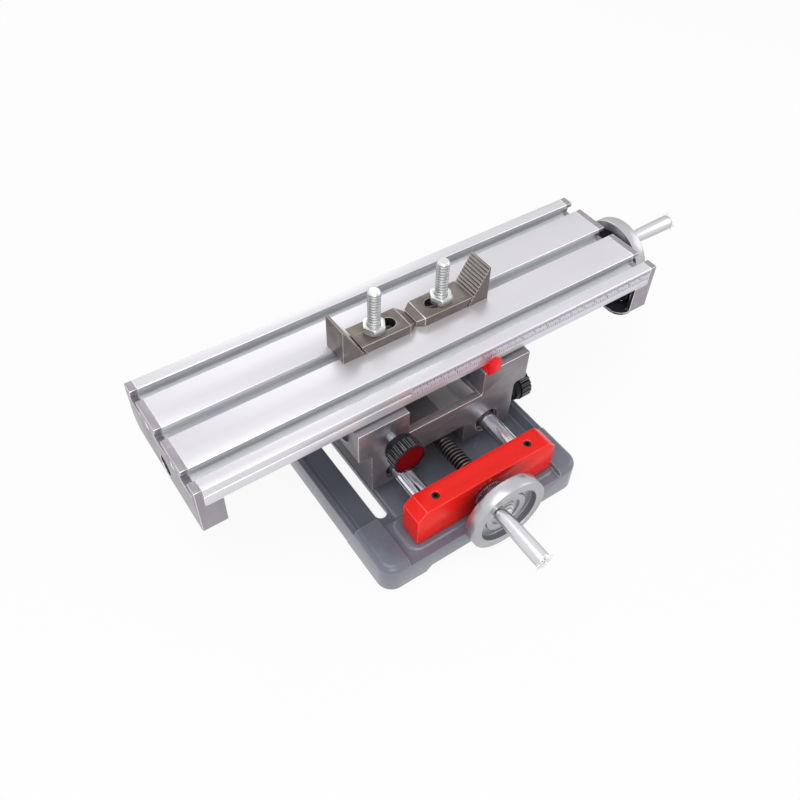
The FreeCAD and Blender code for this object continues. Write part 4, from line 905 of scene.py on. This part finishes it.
@dataclass
class Assembly:
    """What every sub-assembly shares: its palette, and how its pieces are shown."""

    palette: Palette

    def show(self, name: str, mesh: Mesh, finishes: Iterable[Finish], body: str, slot: Slot,
             node: Optional[str] = None, sharp: float = 32.0) -> None:
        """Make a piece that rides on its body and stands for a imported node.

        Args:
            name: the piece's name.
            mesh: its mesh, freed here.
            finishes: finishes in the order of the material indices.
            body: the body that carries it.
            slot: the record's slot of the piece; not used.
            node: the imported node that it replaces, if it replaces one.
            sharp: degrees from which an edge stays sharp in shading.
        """
        piece = finish_piece(name, mesh, [self.palette(finish) for finish in finishes], sharp)
        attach(piece, body)
        if node:
            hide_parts(node)
        log.info("%s rides on %s, %d faces", name, body, len(piece.data.polygons))

    def dress(self, finish: Finish, *nodes: str) -> None:
        """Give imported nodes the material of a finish.

        Args:
            finish: the finish.
            nodes: names of the nodes.
        """
        for node in nodes:
            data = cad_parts[node].data
            data.materials.clear()
            data.materials.append(self.palette(finish))
            log.info("%s dressed with %s", node, finish.name)

    def show_rounded(self, node: str, body: str, slot: Slot, finishes: Sequence[Finish],
                     rounding: Rounding, painted_light_shade_box: Optional[Box] = None) -> None:
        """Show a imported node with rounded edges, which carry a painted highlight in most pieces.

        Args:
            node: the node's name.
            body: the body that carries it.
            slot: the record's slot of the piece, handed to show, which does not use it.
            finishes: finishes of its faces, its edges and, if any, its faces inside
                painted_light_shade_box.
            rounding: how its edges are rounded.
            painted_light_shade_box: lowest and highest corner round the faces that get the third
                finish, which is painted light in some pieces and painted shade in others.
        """
        mesh = cad_copy(node)
        # Faces inside the box get painted light or painted shade, as the third finish of the piece
        # says.
        if painted_light_shade_box:
            for face in mesh.faces:
                if is_inside(face.calc_center_median() / MM, painted_light_shade_box):
                    face.material_index = 2
        rounding.apply(mesh)
        self.show(node + "_shown", mesh, finishes, body, slot, node)

    def show_rod(self, node: str, body: str, where: Matrix, radius: float, span: Point,
                 chamfer: float, steps: int) -> None:
        """Show a chrome guide rod with chamfered ends.

        Args:
            node: the node's name.
            body: the body that carries it.
            where: matrix from its axis, +Z, to its place.
            radius: its radius.
            span: its two ends along the axis.
            chamfer: width of the chamfers.
            steps: divisions round it.
        """
        mesh = bmesh.new()
        start, end = span
        add_turned(mesh, [(0, start), (radius - chamfer, start), (radius, start + chamfer),
                          (radius, end - chamfer), (radius - chamfer, end), (0, end)], where, steps)
        self.show(node + "_shown", mesh, [CHROME], body, Slot.CHROME_ROD, node)


@dataclass
class LockKnob(Assembly):
    """Fluted knob with a coloured cap, on a stud.

    The outlines are (radius, distance): skirt from the knob's back, cap from its face. crown holds
    the steps from the straight rim to the face as (inset, rise). flute_half and highlight_end are
    measured from the middle of a flute, in pitches: where the flute ends, and where the painted
    highlight on the edge of the ridge ends.
    """

    prefix: str
    face: Place
    out: Axis
    radius: float = 10.6
    length: float = 13.0
    barrel: float = 5.0
    flutes: int = 20
    flute_divisions: int = 8
    flute_depth: float = 0.55
    flute_half: float = 0.2
    flute_power: float = 0.5
    highlight_end: float = 0.32
    crown: Outline = ((0.15, 0.3), (0.15, 0.17), (0.05, 0.03))
    skirt: Outline = ((0.0, 0.0), (8.4, 0.0), (9.1, 0.5), (9.6, 1.8), (9.6, 5.2), (0.0, 5.2))
    cap_radius: float = 9.7
    cap_depth: float = 1.2
    cap: Outline = ((0.0, -1.2), (9.7, -1.2), (9.7, -0.35), (9.2, -0.18), (6.79, -0.32),
                    (3.395, -0.42), (0.0, -0.45))

    def build(self) -> None:
        """Make the knob and its cap, and dress the stud."""
        where = placed(self.face, self.out.vector())
        body = self.prefix + "_lock"
        knob = bmesh.new()
        join_part(knob, self._ribbed(), where)
        add_turned(knob, shifted(self.skirt, -self.length), where)
        self.show(self.prefix + "_knob_shown", knob, [BLACK_PLASTIC, BLACK_RIDGE_HIGHLIGHT], body,
                  Slot.BLACK_PLASTIC, self.prefix + "_lock_knob")
        cap = bmesh.new()
        add_turned(cap, self.cap, where)
        self.show(self.prefix + "_cap_shown", cap, [CAP_RED], body, Slot.DARK_RED_PLASTIC,
                  self.prefix + "_lock_cap")
        self.dress(ZINC, self.prefix + "_lock_stud")

    def _off_flute(self, angle: float) -> float:
        """How far an angle lies from the middle of its flute, in pitches of the flutes."""
        return abs((angle / math.tau * self.flutes) % 1.0 - 0.5)

    def _shrink(self, angle: float) -> float:
        """Share of the radius that the flutes leave at an angle."""
        dip = max(0.0, 1.0 - self._off_flute(angle) / self.flute_half) ** self.flute_power
        return 1.0 - dip * self.flute_depth / self.radius

    def _ribbed(self) -> Mesh:
        """Make the ribbed front part of the knob with its recess for the cap.

        Returns:
            The part, with a painted highlight on the edges of its ridges.
        """
        rim = -sum(rise for _, rise in self.crown)
        part, top = raised_disc(self.radius, self.flutes * self.flute_divisions, self._shrink,
                                self.barrel - self.length, rim, self.crown)
        cap_radius = self.cap_radius * MM
        for vert in [vert for face in top for vert in face.verts]:
            vert.co.xy = vert.co.xy.normalized() * cap_radius
        sunk = bmesh.ops.extrude_face_region(part, geom=top)["geom"]
        bmesh.ops.delete(part, geom=top, context="FACES_ONLY")
        bmesh.ops.translate(part, verts=picked(sunk, bmesh.types.BMVert),
                            vec=(0, 0, -self.cap_depth * MM))
        bmesh.ops.recalc_face_normals(part, faces=part.faces[:])
        # Painted highlight: faces on the edges of the ridges get the lighter, glossy finish.
        upright = 0.3
        for face in part.faces:
            spot = face.calc_center_median()
            ridge = (self.flute_half < self._off_flute(math.atan2(spot.y, spot.x)) < self.highlight_end
                     and abs(face.normal.z) < upright and spot.xy.length > cap_radius)
            face.material_index = int(ridge)
        return part


@dataclass
class Drive(Assembly):
    """Leadscrew with dial, handwheel and crank handle, along one axis.

    thread, journal and tail are spans along the axis from the frame's origin. handle is the crank's
    place on the wheel, across and up. The outlines are (radius, distance): those of the dial are
    from its own rear and front, that of the grip is from its foot, and all others are from the
    wheel's rear, round the wheel's axis or the handle's. cross is the middle and the size of one
    arm of the black block that stands in the hub screw's recess as painted shade. bolt_crown holds
    the steps of the bolt's head as (inset, rise).
    """

    prefix: str
    wheel_rear: Place
    out: Axis
    dial_length: float
    handle: Point
    thread: Point
    left_hand: bool
    journal: Point
    tail: Point
    thread_crest: float = 5.5
    thread_depth: float = 1.1
    pitch: float = 2.5
    thread_steps: int = 26
    journal_radius: float = 5.0
    tail_radius: float = 4.0
    tail_chamfer: float = 0.4
    dial_radius: float = 10.0
    dial_rear: Outline = ((5.0, 0.0), (9.4, 0.0), (9.85, 0.15), (10.0, 0.5))
    dial_front: Outline = ((10.0, -0.3), (9.7, 0.0), (5.0, 0.0))
    dial_marks: int = 50
    mark_lengths: Point = (2.2, 1.3)
    mark_start: float = 0.55
    mark_size: Point = (0.06, 0.15)
    rim_inner: float = 20.3
    hub_radius: float = 7.0
    web_rear: float = 2.4
    wall_end: float = 8.5
    wheel: Outline = (
        (5.0, 0.0), (7.6, 0.0), (7.6, 2.4), (20.3, 2.4), (20.3, 0.3), (20.6, 0.0), (25.5, 0.0),
        (26.28, 0.32), (26.6, 1.1), (26.6, 8.1), (26.34, 8.74), (25.7, 9.0), (20.65, 9.0),
        (20.3, 8.65), (20.3, 4.9), (20.1, 4.4), (19.6, 4.2), (14.9, 4.2), (14.6, 4.5),
        (14.6, 5.5), (14.3, 5.8), (10.5, 5.8), (10.2, 5.5), (10.2, 4.2), (7.6, 4.2),
        (7.6, 4.8), (7.4, 5.0), (5.0, 5.0))
    boss: Outline = ((2.4, 2.4), (4.4, 2.4), (4.4, 5.6), (4.0, 6.0), (2.4, 6.0))
    washer: Outline = ((0.0, 5.0), (5.4, 5.0), (5.6, 5.15), (5.6, 5.75), (5.4, 5.9), (0.0, 5.9))
    screw_head: Outline = ((0.0, 5.9), (4.0, 5.9), (4.0, 6.6), (3.75, 7.25), (3.1, 7.8), (2.0, 8.1),
                           (1.9, 8.1), (0.0, 7.2))
    cross: Box = ((1.55, 0.0, 7.75), (1.9, 0.75, 0.5))
    grip_foot: float = 6.3
    grip: Outline = (
        (2.45, 0.0), (3.15, 0.0), (3.45, 0.3), (4.05, 5.5), (4.3, 8.5), (4.5, 12.0), (4.68, 16.5),
        (4.8, 21.0), (4.9, 26.0), (4.95, 31.0), (4.95, 36.0), (4.9, 40.0), (4.8, 41.2), (4.4, 41.8),
        (3.65, 41.8), (3.6, 41.6), (3.6, 37.8), (2.45, 37.75))
    bolt_radius: float = 3.5
    bolt_divisions: int = 100
    bolt_lobes: int = 10
    lobe_depth: float = 0.075
    lobe_power: float = 0.6
    bolt_head: Point = (44.1, 48.45)
    bolt_crown: Outline = ((0.3, 0.3), (1.0, 0.05), (0.35, -0.9))
    shank: Outline = ((0.0, 2.6), (2.4, 2.6), (2.4, 44.2), (0.0, 44.2))

    body: str = field(init=False)
    where: Matrix = field(init=False)
    foot: Matrix = field(init=False)
    wheel_finish: Finish = field(init=False)
    grip_finish: Finish = field(init=False)

    def __post_init__(self) -> None:
        """Work out the places and finishes that follow from the sizes."""
        self.body = self.prefix + "_drive"
        self.where = placed(self.wheel_rear, self.out.vector())
        side = Axis.X if self.out is Axis.MINUS_Y else Axis.Y
        across, up = self.handle
        foot = Vector(self.wheel_rear) + side.vector() * across + Axis.Z.vector() * up
        self.foot = placed(foot, self.out.vector())
        square = tuple(1.0 - abs(part) for part in self.out.value)
        self.wheel_finish = replace(TURNED, name=TURNED.name + "_" + self.prefix,
                                    rings=(self.wheel_rear, square))
        self.grip_finish = replace(HANDLE, name=HANDLE.name + "_" + self.prefix,
                                   rings=(tuple(foot), square))

    def build(self) -> None:
        """Make every piece of the drive."""
        self._screw()
        self._dial()
        self._wheel()
        self._hub_screw()
        self._grip()
        self._bolt()

    def _screw(self) -> None:
        """Thread, journal and tail of the leadscrew."""
        mesh = bmesh.new()
        way = self.out.vector()
        centre = Vector(self.wheel_rear)
        axis = placed(centre - way * centre.dot(way), way)
        # The groove gets the root's painted shade and the crest the painted highlight.
        Thread(self.thread_crest, self.thread_depth, self.pitch, self.thread, self.thread_steps,
               self.left_hand).add_to(mesh, axis, groove=0, ridge=1)
        start, end = self.journal
        radius = self.journal_radius
        add_turned(mesh, [(0, start), (radius, start), (radius, end), (0, end)], axis, steps=64,
                   material=2)
        start, end = self.tail
        radius, chamfer = self.tail_radius, self.tail_chamfer
        add_turned(mesh, [(0, start + chamfer), (0, start), (radius - chamfer, start),
                          (radius, start + chamfer), (radius, end), (0, end)], axis, steps=48,
                   material=2)
        self.show(self.prefix + "_leadscrew_shown", mesh, [SCREW_ROOT_SHADE, SCREW_CREST_HIGHLIGHT, DIAL_METAL],
                  self.body, Slot.LEADSCREW_STEEL, self.prefix + "_leadscrew")

    def _dial(self) -> None:
        """Graduated collar with marks round its rim."""
        mesh = bmesh.new()
        outline = shifted(self.dial_rear, -self.dial_length) + list(self.dial_front)
        add_turned(mesh, outline, self.where, steps=128)
        long_mark, short_mark = self.mark_lengths
        for index in range(self.dial_marks):
            tall = short_mark if index % 5 else long_mark
            turn = Matrix.Rotation(math.tau * index / self.dial_marks, 4, "Z")
            along = self.mark_start + tall / 2 - self.dial_length
            add_block(mesh, self.where @ turn, (self.dial_radius, 0.0, along),
                      (*self.mark_size, tall), 1)
        self.show(self.prefix + "_dial_shown", mesh, [DIAL_METAL, WHITE_MARK], self.body,
                  Slot.DIAL_METAL, self.prefix + "_dial")

    def _wheel(self) -> None:
        """Turned handwheel and the boss under the handle, with painted shade in its recess and on
        the rim's inner wall.
        """
        mesh = bmesh.new()
        add_turned(mesh, self.wheel, self.where, steps=144)
        add_turned(mesh, self.boss, self.foot, steps=64)
        inside = self.where.inverted()
        slack = 0.1
        # Painted shade: the web's rear faces and the rim's inner wall get darker finishes.
        for face in mesh.faces:
            spot = inside @ face.calc_center_median() / MM
            reach = spot.xy.length
            if (spot.z < self.web_rear + slack
                    and self.hub_radius < reach < self.rim_inner + 2 * slack):
                face.material_index = 1
            elif spot.z < self.wall_end and abs(reach - self.rim_inner) < slack:
                face.material_index = 2
        self.show(self.prefix + "_wheel_shown", mesh, [self.wheel_finish, WHEEL_RECESS_SHADE, WHEEL_WALL_SHADE],
                  self.body, Slot.TURNED_ALUMINIUM, self.prefix + "_handwheel", 24.0)

    def _hub_screw(self) -> None:
        """Pan head screw on a washer, with black blocks in its cross recess as painted shade."""
        mesh = bmesh.new()
        add_turned(mesh, self.washer, self.where, steps=64)
        add_turned(mesh, self.screw_head, self.where, steps=64)
        # Painted shade: black blocks stand in the cross recess.
        for quarter in range(4):
            turn = Matrix.Rotation(math.pi / 4 + quarter * math.pi / 2, 4, "Z")
            add_block(mesh, self.where @ turn, *self.cross, 1)
        self.show(self.prefix + "_hub_screw_shown", mesh, [ZINC, BLACK_STEEL], self.body,
                  Slot.ZINC_STEEL, self.prefix + "_hub_screw")

    def _grip(self) -> None:
        """Tapered grip with a smooth swell."""
        mesh = bmesh.new()
        add_turned(mesh, shifted(self.grip, self.grip_foot), self.foot)
        self.show(self.prefix + "_grip_shown", mesh, [self.grip_finish], self.prefix + "_grip",
                  Slot.HANDLE_ALUMINIUM, self.prefix + "_handle_grip", 40.0)

    def _bolt(self) -> None:
        """Lobed bolt head in the end of the grip, with its shank."""
        mesh = bmesh.new()
        part, _ = raised_disc(self.bolt_radius, self.bolt_divisions, self._lobe, *self.bolt_head,
                              self.bolt_crown)
        bmesh.ops.recalc_face_normals(part, faces=part.faces[:])
        join_part(mesh, part, self.foot)
        add_turned(mesh, self.shank, self.foot, steps=48)
        self.show(self.prefix + "_handle_bolt_shown", mesh, [POLISHED], self.body,
                  Slot.BRIGHT_CHROME, self.prefix + "_handle_bolt")

    def _lobe(self, angle: float) -> float:
        """Share of the radius that the hollows of the bolt head leave at an angle."""
        hollow = 0.5 - 0.5 * math.cos(self.bolt_lobes * angle)
        return 1.0 - self.lobe_depth * hollow ** self.lobe_power


@dataclass
class BaseUnit(Assembly):
    """Painted base with its two red blocks, rods, bushes and screws."""

    rod_x: float = 34.5
    rod_height: float = 32.3
    rod_radius: float = 6.0
    rod_span: Point = (-92.5, 85.5)
    rod_chamfer: float = 0.6
    block_face: float = -94.7
    # Box of the left rim's inner slope that gets the painted light.
    painted_light_slope: Box = ((-76.3, -70.0, 11.5), (-71.0, 64.0, 17.6))
    marks: range = range(-54, 1, 18)
    mark_lengths: Point = (2.6, 1.7)
    mark_start: float = 11.0
    mark_size: Point = (0.26, 0.08)

    def build(self) -> None:
        """Make every piece of the base."""
        self.show_rounded("base_casting", "base", Slot.SLATE_PAINT,
                          [BASE_PAINT, BASE_EDGE_HIGHLIGHT, BASE_SLOPE_LIGHT], Rounding(0.5, 3, 28.0), self.painted_light_slope)
        for node in ("front_block", "rear_block"):
            self.show_rounded(node, "base", Slot.RED_PAINT, [RED_PAINT, RED_EDGE_HIGHLIGHT],
                              Rounding(0.45, 3, 28.0))
        for node, side in (("y_rod_left", -1), ("y_rod_right", 1)):
            where = placed((side * self.rod_x, 0.0, self.rod_height), Axis.Y.vector())
            self.show_rod(node, "base", where, self.rod_radius, self.rod_span, self.rod_chamfer,
                          steps=96)
        self._index_marks()
        self.dress(BRONZE, "y_bush_front", "y_bush_rear")
        self.dress(BLACK_STEEL, "front_grub_screws", "rear_grub_screws", "block_screws")

    def _index_marks(self) -> None:
        """White reading marks on the front block beside the dial, the longest at the top."""
        mesh = bmesh.new()
        centre = Matrix.Translation(Vector((0.0, self.block_face, self.rod_height)) * MM)
        top_mark, other_mark = self.mark_lengths
        for turn in self.marks:
            reach = other_mark if turn else top_mark
            spin = Matrix.Rotation(math.radians(turn), 4, "Y")
            add_block(mesh, centre @ spin, (0.0, 0.0, self.mark_start + reach / 2),
                      (*self.mark_size, reach))
        self.show("front_block_index_marks", mesh, [WHITE_MARK], "base", Slot.RED_PAINT)


@dataclass
class SaddleUnit(Assembly):
    """Saddle casting with bushes, nuts, pointer and the two locks."""

    # Box of the deep pocket's faces that get the painted light.
    painted_light_pocket: Box = ((1.0, -44.4, 42.0), (25.0, 44.4, 57.6))
    front_lock: Place = (-41.2, -70.1, 67.3)
    right_lock: Place = (76.0, -35.0, 32.3)

    def build(self) -> None:
        """Make every piece of the saddle."""
        self.show_rounded("saddle_casting", "saddle", Slot.MACHINED_IRON,
                          [SADDLE, SADDLE_EDGE_HIGHLIGHT, POCKET_LIGHT], Rounding(0.3), self.painted_light_pocket)
        self.show_rounded("pointer", "saddle", Slot.RED_POINTER, [POINTER_RED, POINTER_RED],
                          Rounding(0.25))
        self.dress(BLACK_STEEL, "y_rod_bush_front_left", "y_rod_bush_front_right", "nut_screws")
        self.dress(ZINC, "y_rod_bush_rear_left", "y_rod_bush_rear_right", "x_rod_bushes_front",
                   "x_rod_bushes_back", "pointer_screw")
        self.dress(BRONZE, "x_nut", "y_nut")
        LockKnob(self.palette, "front", self.front_lock, Axis.MINUS_Y).build()
        LockKnob(self.palette, "right", self.right_lock, Axis.X).build()


@dataclass
class TableUnit(Assembly):
    """Slotted table with end brackets, rods, bushes and the printed scale.

    The scale's marks are (width, thickness), with their lengths for full, half and other places.
    """

    front: float = -45.3
    rod_y: float = 30.0
    rod_height: float = 69.0
    rod_radius: float = 5.0
    rod_span: Point = (-156.5, 170.5)
    rod_chamfer: float = 0.5
    # Boxes of the brackets' hollow faces that get the painted shade.
    left_hollow_shade: Box = ((-157.0, -44.5, 61.0), (-144.0, 44.5, 81.4))
    right_hollow_shade: Box = ((148.0, -44.5, 61.0), (171.0, 44.5, 81.4))
    slots: Box = ((-200.0, -44.5, 82.0), (200.0, 44.5, 94.8))
    middle_slot: float = 12.0
    strip: tuple[Point, Point] = ((-24.0, 166.7), (87.0, 94.2))
    strip_thickness: float = 0.3
    strip_margin: float = 1.0
    mark_inset: Point = (0.8, 0.3)
    metric_mark: Point = (0.40, 0.03)
    metric_lengths: Place = (3.2, 2.5, 1.8)
    lower_mark: Point = (0.34, 0.03)
    lower_pitch: float = 1.5875
    lower_lengths: tuple[float, ...] = (2.4, 1.1, 1.5, 1.1)
    number_size: float = 2.2
    number_thickness: float = 0.03
    number_spot: Point = (2.1, 3.0)

    def build(self) -> None:
        """Make every piece of the table."""
        self._plate()
        for node, hollow in (("left_bracket", self.left_hollow_shade),
                             ("right_bracket", self.right_hollow_shade)):
            self.show_rounded(node, "table", Slot.GROUND_IRON,
                              [BRACKET, BRACKET_EDGE_HIGHLIGHT, BRACKET_HOLLOW_SHADE], Rounding(0.28), hollow)
        for node, side in (("x_rod_front", -1), ("x_rod_back", 1)):
            where = placed((0.0, side * self.rod_y, self.rod_height), Axis.X.vector())
            self.show_rod(node, "table", where, self.rod_radius, self.rod_span, self.rod_chamfer,
                          steps=72)
        self.dress(BRONZE, "x_bush_left", "x_bush_right")
        self.dress(ZINC, "bracket_screws")
        self._scale()

    def _plate(self) -> None:
        """Slotted plate with a painted highlight on its edges, painted light on the outer slot
        floors, painted shade on their walls, and a lighter middle slot as painted light.
        """
        mesh = cad_copy("table_plate")
        upward = 0.9
        for face in mesh.faces:
            middle = face.calc_center_median() / MM
            # Painted light and shade by place in the slots: outer floors lit, outer walls shaded,
            # middle slot lightened.
            if is_inside(middle, self.slots):
                outer = abs(middle.y) > self.middle_slot
                face.material_index = 4 if not outer else 2 if face.normal.z > upward else 3
        Rounding(0.32).apply(mesh)
        self.show("table_plate_shown", mesh,
                  [TABLE_TOP, TABLE_EDGE_HIGHLIGHT, SLOT_FLOOR_LIGHT, SLOT_WALL_SHADE, SLOT_MIDDLE_LIGHT], "table",
                  Slot.ANODISED_TABLE, "table_plate")

    def _scale(self) -> None:
        """Printed scale: a millimetre row with a number per centimetre, and a second row below."""
        mesh = bmesh.new()
        (start, end), (low, high) = self.strip
        face = self.front - self.strip_thickness
        here = Matrix()
        add_block(mesh, here, ((start + end) / 2, (self.front + face) / 2, (low + high) / 2),
                  (end - start, self.strip_thickness, high - low))
        side_inset, edge_inset = self.mark_inset
        reach = end - start - self.strip_margin
        full, half, other = self.metric_lengths
        for index in range(int(reach) + 1):
            tall = other if index % (CENTIMETRE // 2) else half if index % CENTIMETRE else full
            add_block(mesh, here,
                      (start + side_inset + index, face, high - edge_inset - tall / 2),
                      (*self.metric_mark, tall), 1)
        for index in range(int(reach / self.lower_pitch) + 1):
            tall = self.lower_lengths[index % len(self.lower_lengths)]
            add_block(mesh, here, (start + side_inset + index * self.lower_pitch, face,
                                   low + edge_inset + tall / 2), (*self.lower_mark, tall), 1)
        stand = Matrix.Rotation(math.pi / 2, 4, "X")
        beside, above = self.number_spot
        for index in range(CENTIMETRE, int(reach) + 1, CENTIMETRE):
            spot = Matrix.Translation(Vector((start + beside + index, face, low + above)) * MM)
            add_number(mesh, str(index // CENTIMETRE), self.number_size, self.number_thickness,
                       spot @ stand, 1)
        self.show("scale_strip_shown", mesh, [SCALE_FACE, INK], "table", Slot.SCALE_PRINT,
                  "scale_strip")


@dataclass
class StepClamp(Assembly):
    """Strap, step block, bolt and nut of one clamp.

    The bolt's heights are measured from the base's underside, its tip from the bolt's top. hole is
    the span of the strap's long hole along the table.
    """

    side: str
    bolt_x: float
    hole: Point
    hole_side: float = 4.7
    hole_heights: Point = (95.3, 101.4)
    thread_radius: float = 4.0
    thread_depth: float = 0.6
    thread_pitch: float = 2.0
    thread_span: Point = (99.0, 130.5)
    thread_land: float = 0.4
    bolt_top: float = 131.5
    plain: Outline = ((0.0, 91.0), (4.0, 91.0), (4.0, 99.2), (0.0, 99.2))
    tip: Outline = ((0.0, -1.1), (3.95, -1.1), (3.6, -0.4), (3.1, 0.0), (0.0, 0.0))
    head_height: float = 89.4
    head: Place = (13.2, 13.2, 5.2)
    neck_height: float = 93.0
    neck: Place = (8.0, 8.0, 2.0)

    def build(self) -> None:
        """Make every piece of the clamp."""
        side = self.side
        (left, right), (low, high) = self.hole, self.hole_heights
        self.show_rounded(side + "_step_block", side + "_wedge", Slot.PHOSPHATE_STEEL,
                          [CLAMP, CLAMP_EDGE_HIGHLIGHT], Rounding(0.18, 2, 25.0))
        # The strap's long hole gets painted shade.
        self.show_rounded(side + "_strap", side + "_clamp", Slot.PHOSPHATE_STEEL,
                          [CLAMP, CLAMP_EDGE_HIGHLIGHT, STRAP_HOLE_SHADE], Rounding(0.3, 2, 25.0),
                          ((left, -self.hole_side, low), (right, self.hole_side, high)))
        self._bolt()
        self.show_rounded(side + "_clamp_nut", side + "_nut", Slot.ZINC_BOLT, [ZINC, ZINC],
                          Rounding(0.2, 2, 25.0))

    def _bolt(self) -> None:
        """Bolt with a rolled thread, standing in the slot."""
        mesh = bmesh.new()
        where = placed((self.bolt_x, 0.0, 0.0), Axis.Z.vector())
        # The groove gets the root's painted shade.
        Thread(self.thread_radius, self.thread_depth, self.thread_pitch, self.thread_span,
               steps=32, land=self.thread_land).add_to(mesh, where, groove=1, ridge=0)
        add_turned(mesh, self.plain, where, steps=64)
        add_turned(mesh, shifted(self.tip, self.bolt_top), where, steps=64)
        add_block(mesh, where, (0.0, 0.0, self.head_height), self.head)
        add_block(mesh, where, (0.0, 0.0, self.neck_height), self.neck)
        self.show(self.side + "_clamp_bolt_shown", mesh, [ZINC, ZINC_ROOT_SHADE], self.side + "_bolt",
                  Slot.ZINC_BOLT, self.side + "_clamp_bolt")


@dataclass(frozen=True)
class Lamp:
    """Soft square lamp: place, what it points at, width, and power in watts."""

    name: str
    spot: Place
    aim: Place
    width: float
    power: float

    def build(self) -> None:
        """Add the lamp to the scene."""
        data = bpy.data.lights.new(self.name, "AREA")
        data.shape = "SQUARE"
        data.size = self.width * MM
        data.energy = self.power
        lamp = bpy.data.objects.new(self.name, data)
        spot = Vector(self.spot)
        turn = (Vector(self.aim) - spot).normalized().to_track_quat("-Z", "Y").to_matrix().to_4x4()
        lamp.matrix_world = Matrix.Translation(spot * MM) @ turn
        bpy.context.scene.collection.objects.link(lamp)


@dataclass
class Studio:
    """Floor, light and camera; floor_half is half the floor's width in metres."""

    target: Place = (-35.128, -49.556, 95.0)
    azimuth: float = -36.02
    elevation: float = 48.665
    roll: float = 2.161
    distance: float = 463.577
    focal_pixels: float = 833.013
    picture: float = 800.0
    sensor: float = 36.0
    nearest: float = 0.01
    floor_half: float = 4.0
    floor_grey: float = 0.9
    floor_glow: float = 0.9
    world_light: float = 0.55
    lamps: tuple[Lamp, ...] = (
        Lamp("key", (-260.0, -120.0, 900.0), (0.0, 0.0, 60.0), 700.0, 2.7),
        Lamp("front", (-500.0, -900.0, 520.0), (0.0, -30.0, 50.0), 700.0, 3.1),
        Lamp("side", (900.0, -300.0, 500.0), (0.0, 0.0, 50.0), 600.0, 1.2),
        Lamp("back", (200.0, 900.0, 600.0), (0.0, 0.0, 50.0), 700.0, 1.4))

    def build(self) -> None:
        """Make the floor, the world, the lamps and the camera."""
        self._world()
        self._floor()
        for lamp in self.lamps:
            lamp.build()
        self._camera()

    @staticmethod
    def _background(sheet: Sheet) -> bpy.types.NodeSocket:
        """Tell the rays that show the background from those that carry its light.

        Args:
            sheet: the node tree that needs it.

        Returns:
            1 for the rays that show it, 0 for the others.
        """
        path = sheet.add("ShaderNodeLightPath")
        seen = sheet.maths("MAXIMUM", path.outputs["Is Camera Ray"], path.outputs["Is Glossy Ray"])
        return sheet.maths("MAXIMUM", seen, path.outputs["Is Transmission Ray"])

    def _world(self) -> None:
        """White to look at, softer as a light."""
        world = bpy.data.worlds.new("studio_world")
        bpy.context.scene.world = world
        sheet = fresh_sheet(world)
        strength = sheet.spread(self._background(sheet), 0.0, 1.0, self.world_light, 1.0)
        light = sheet.add("ShaderNodeBackground", None, Color=rgba(WHITE), Strength=strength)
        sheet.surface("ShaderNodeOutputWorld", light.outputs[0])

    def _floor(self) -> None:
        """Wide white floor that keeps a soft shadow."""
        mesh = bmesh.new()
        bmesh.ops.create_grid(mesh, x_segments=1, y_segments=1, size=self.floor_half)
        material = bpy.data.materials.new("studio_floor")
        sheet = fresh_sheet(material)
        matt = sheet.add("ShaderNodeBsdfDiffuse", None, Color=rgba((self.floor_grey,) * 3))
        glow = sheet.add("ShaderNodeEmission", None, Color=rgba(WHITE), Strength=1.0)
        share = sheet.maths("MULTIPLY", self._background(sheet), self.floor_glow)
        mixed = sheet.add("ShaderNodeMixShader", None, Fac=share, n1=matt.outputs[0],
                          n2=glow.outputs[0])
        sheet.surface("ShaderNodeOutputMaterial", mixed.outputs[0])
        finish_piece("studio_floor", mesh, [material])

    def _camera(self) -> None:
        """Camera at the photograph's viewing angle."""
        azimuth, elevation, roll = (math.radians(angle)
                                    for angle in (self.azimuth, self.elevation, self.roll))
        level = math.cos(elevation)
        back = Vector((math.sin(azimuth) * level, -math.cos(azimuth) * level, math.sin(elevation)))
        right = Vector((math.cos(azimuth), math.sin(azimuth), 0.0))
        up = back.cross(right)
        tilted_right = right * math.cos(roll) + up * math.sin(roll)
        tilted_up = up * math.cos(roll) - right * math.sin(roll)
        data = bpy.data.cameras.new("camera")
        data.sensor_fit = "HORIZONTAL"
        data.sensor_width = self.sensor
        data.lens = self.focal_pixels * self.sensor / self.picture
        data.clip_start = self.nearest
        camera = bpy.data.objects.new("camera", data)
        spot = (Vector(self.target) + back * self.distance) * MM
        turn = Matrix((tilted_right, tilted_up, back)).transposed().to_4x4()
        camera.matrix_world = Matrix.Translation(spot) @ turn
        bpy.context.scene.collection.objects.link(camera)
        bpy.context.scene.camera = camera


def main() -> None:
    """Build the scene."""
    logging.basicConfig(level=logging.INFO, format="%(message)s")
    bpy.context.scene.view_settings.view_transform = "Standard"
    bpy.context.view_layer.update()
    palette = Palette()
    BaseUnit(palette).build()
    SaddleUnit(palette).build()
    TableUnit(palette).build()
    Drive(palette, "y", wheel_rear=(0.0, -106.2, 32.3), out=Axis.MINUS_Y, dial_length=11.3,
          handle=(-9.9, 12.6), thread=(-71.5, 77.9), left_hand=True, journal=(77.9, 110.0),
          tail=(-86.5, -71.5)).build()
    Drive(palette, "x", wheel_rear=(179.0, 0.0, 69.0), out=Axis.X, dial_length=6.8,
          handle=(-6.0, 14.8), thread=(-148.9, 163.6), left_hand=False, journal=(163.6, 182.8),
          tail=(-154.4, -148.9)).build()
    StepClamp(palette, "left", bolt_x=-20.0, hole=(-25.0, -5.0)).build()
    StepClamp(palette, "right", bolt_x=28.6, hole=(17.2, 37.0)).build()
    Studio().build()


if __name__ == "__main__":
    main()
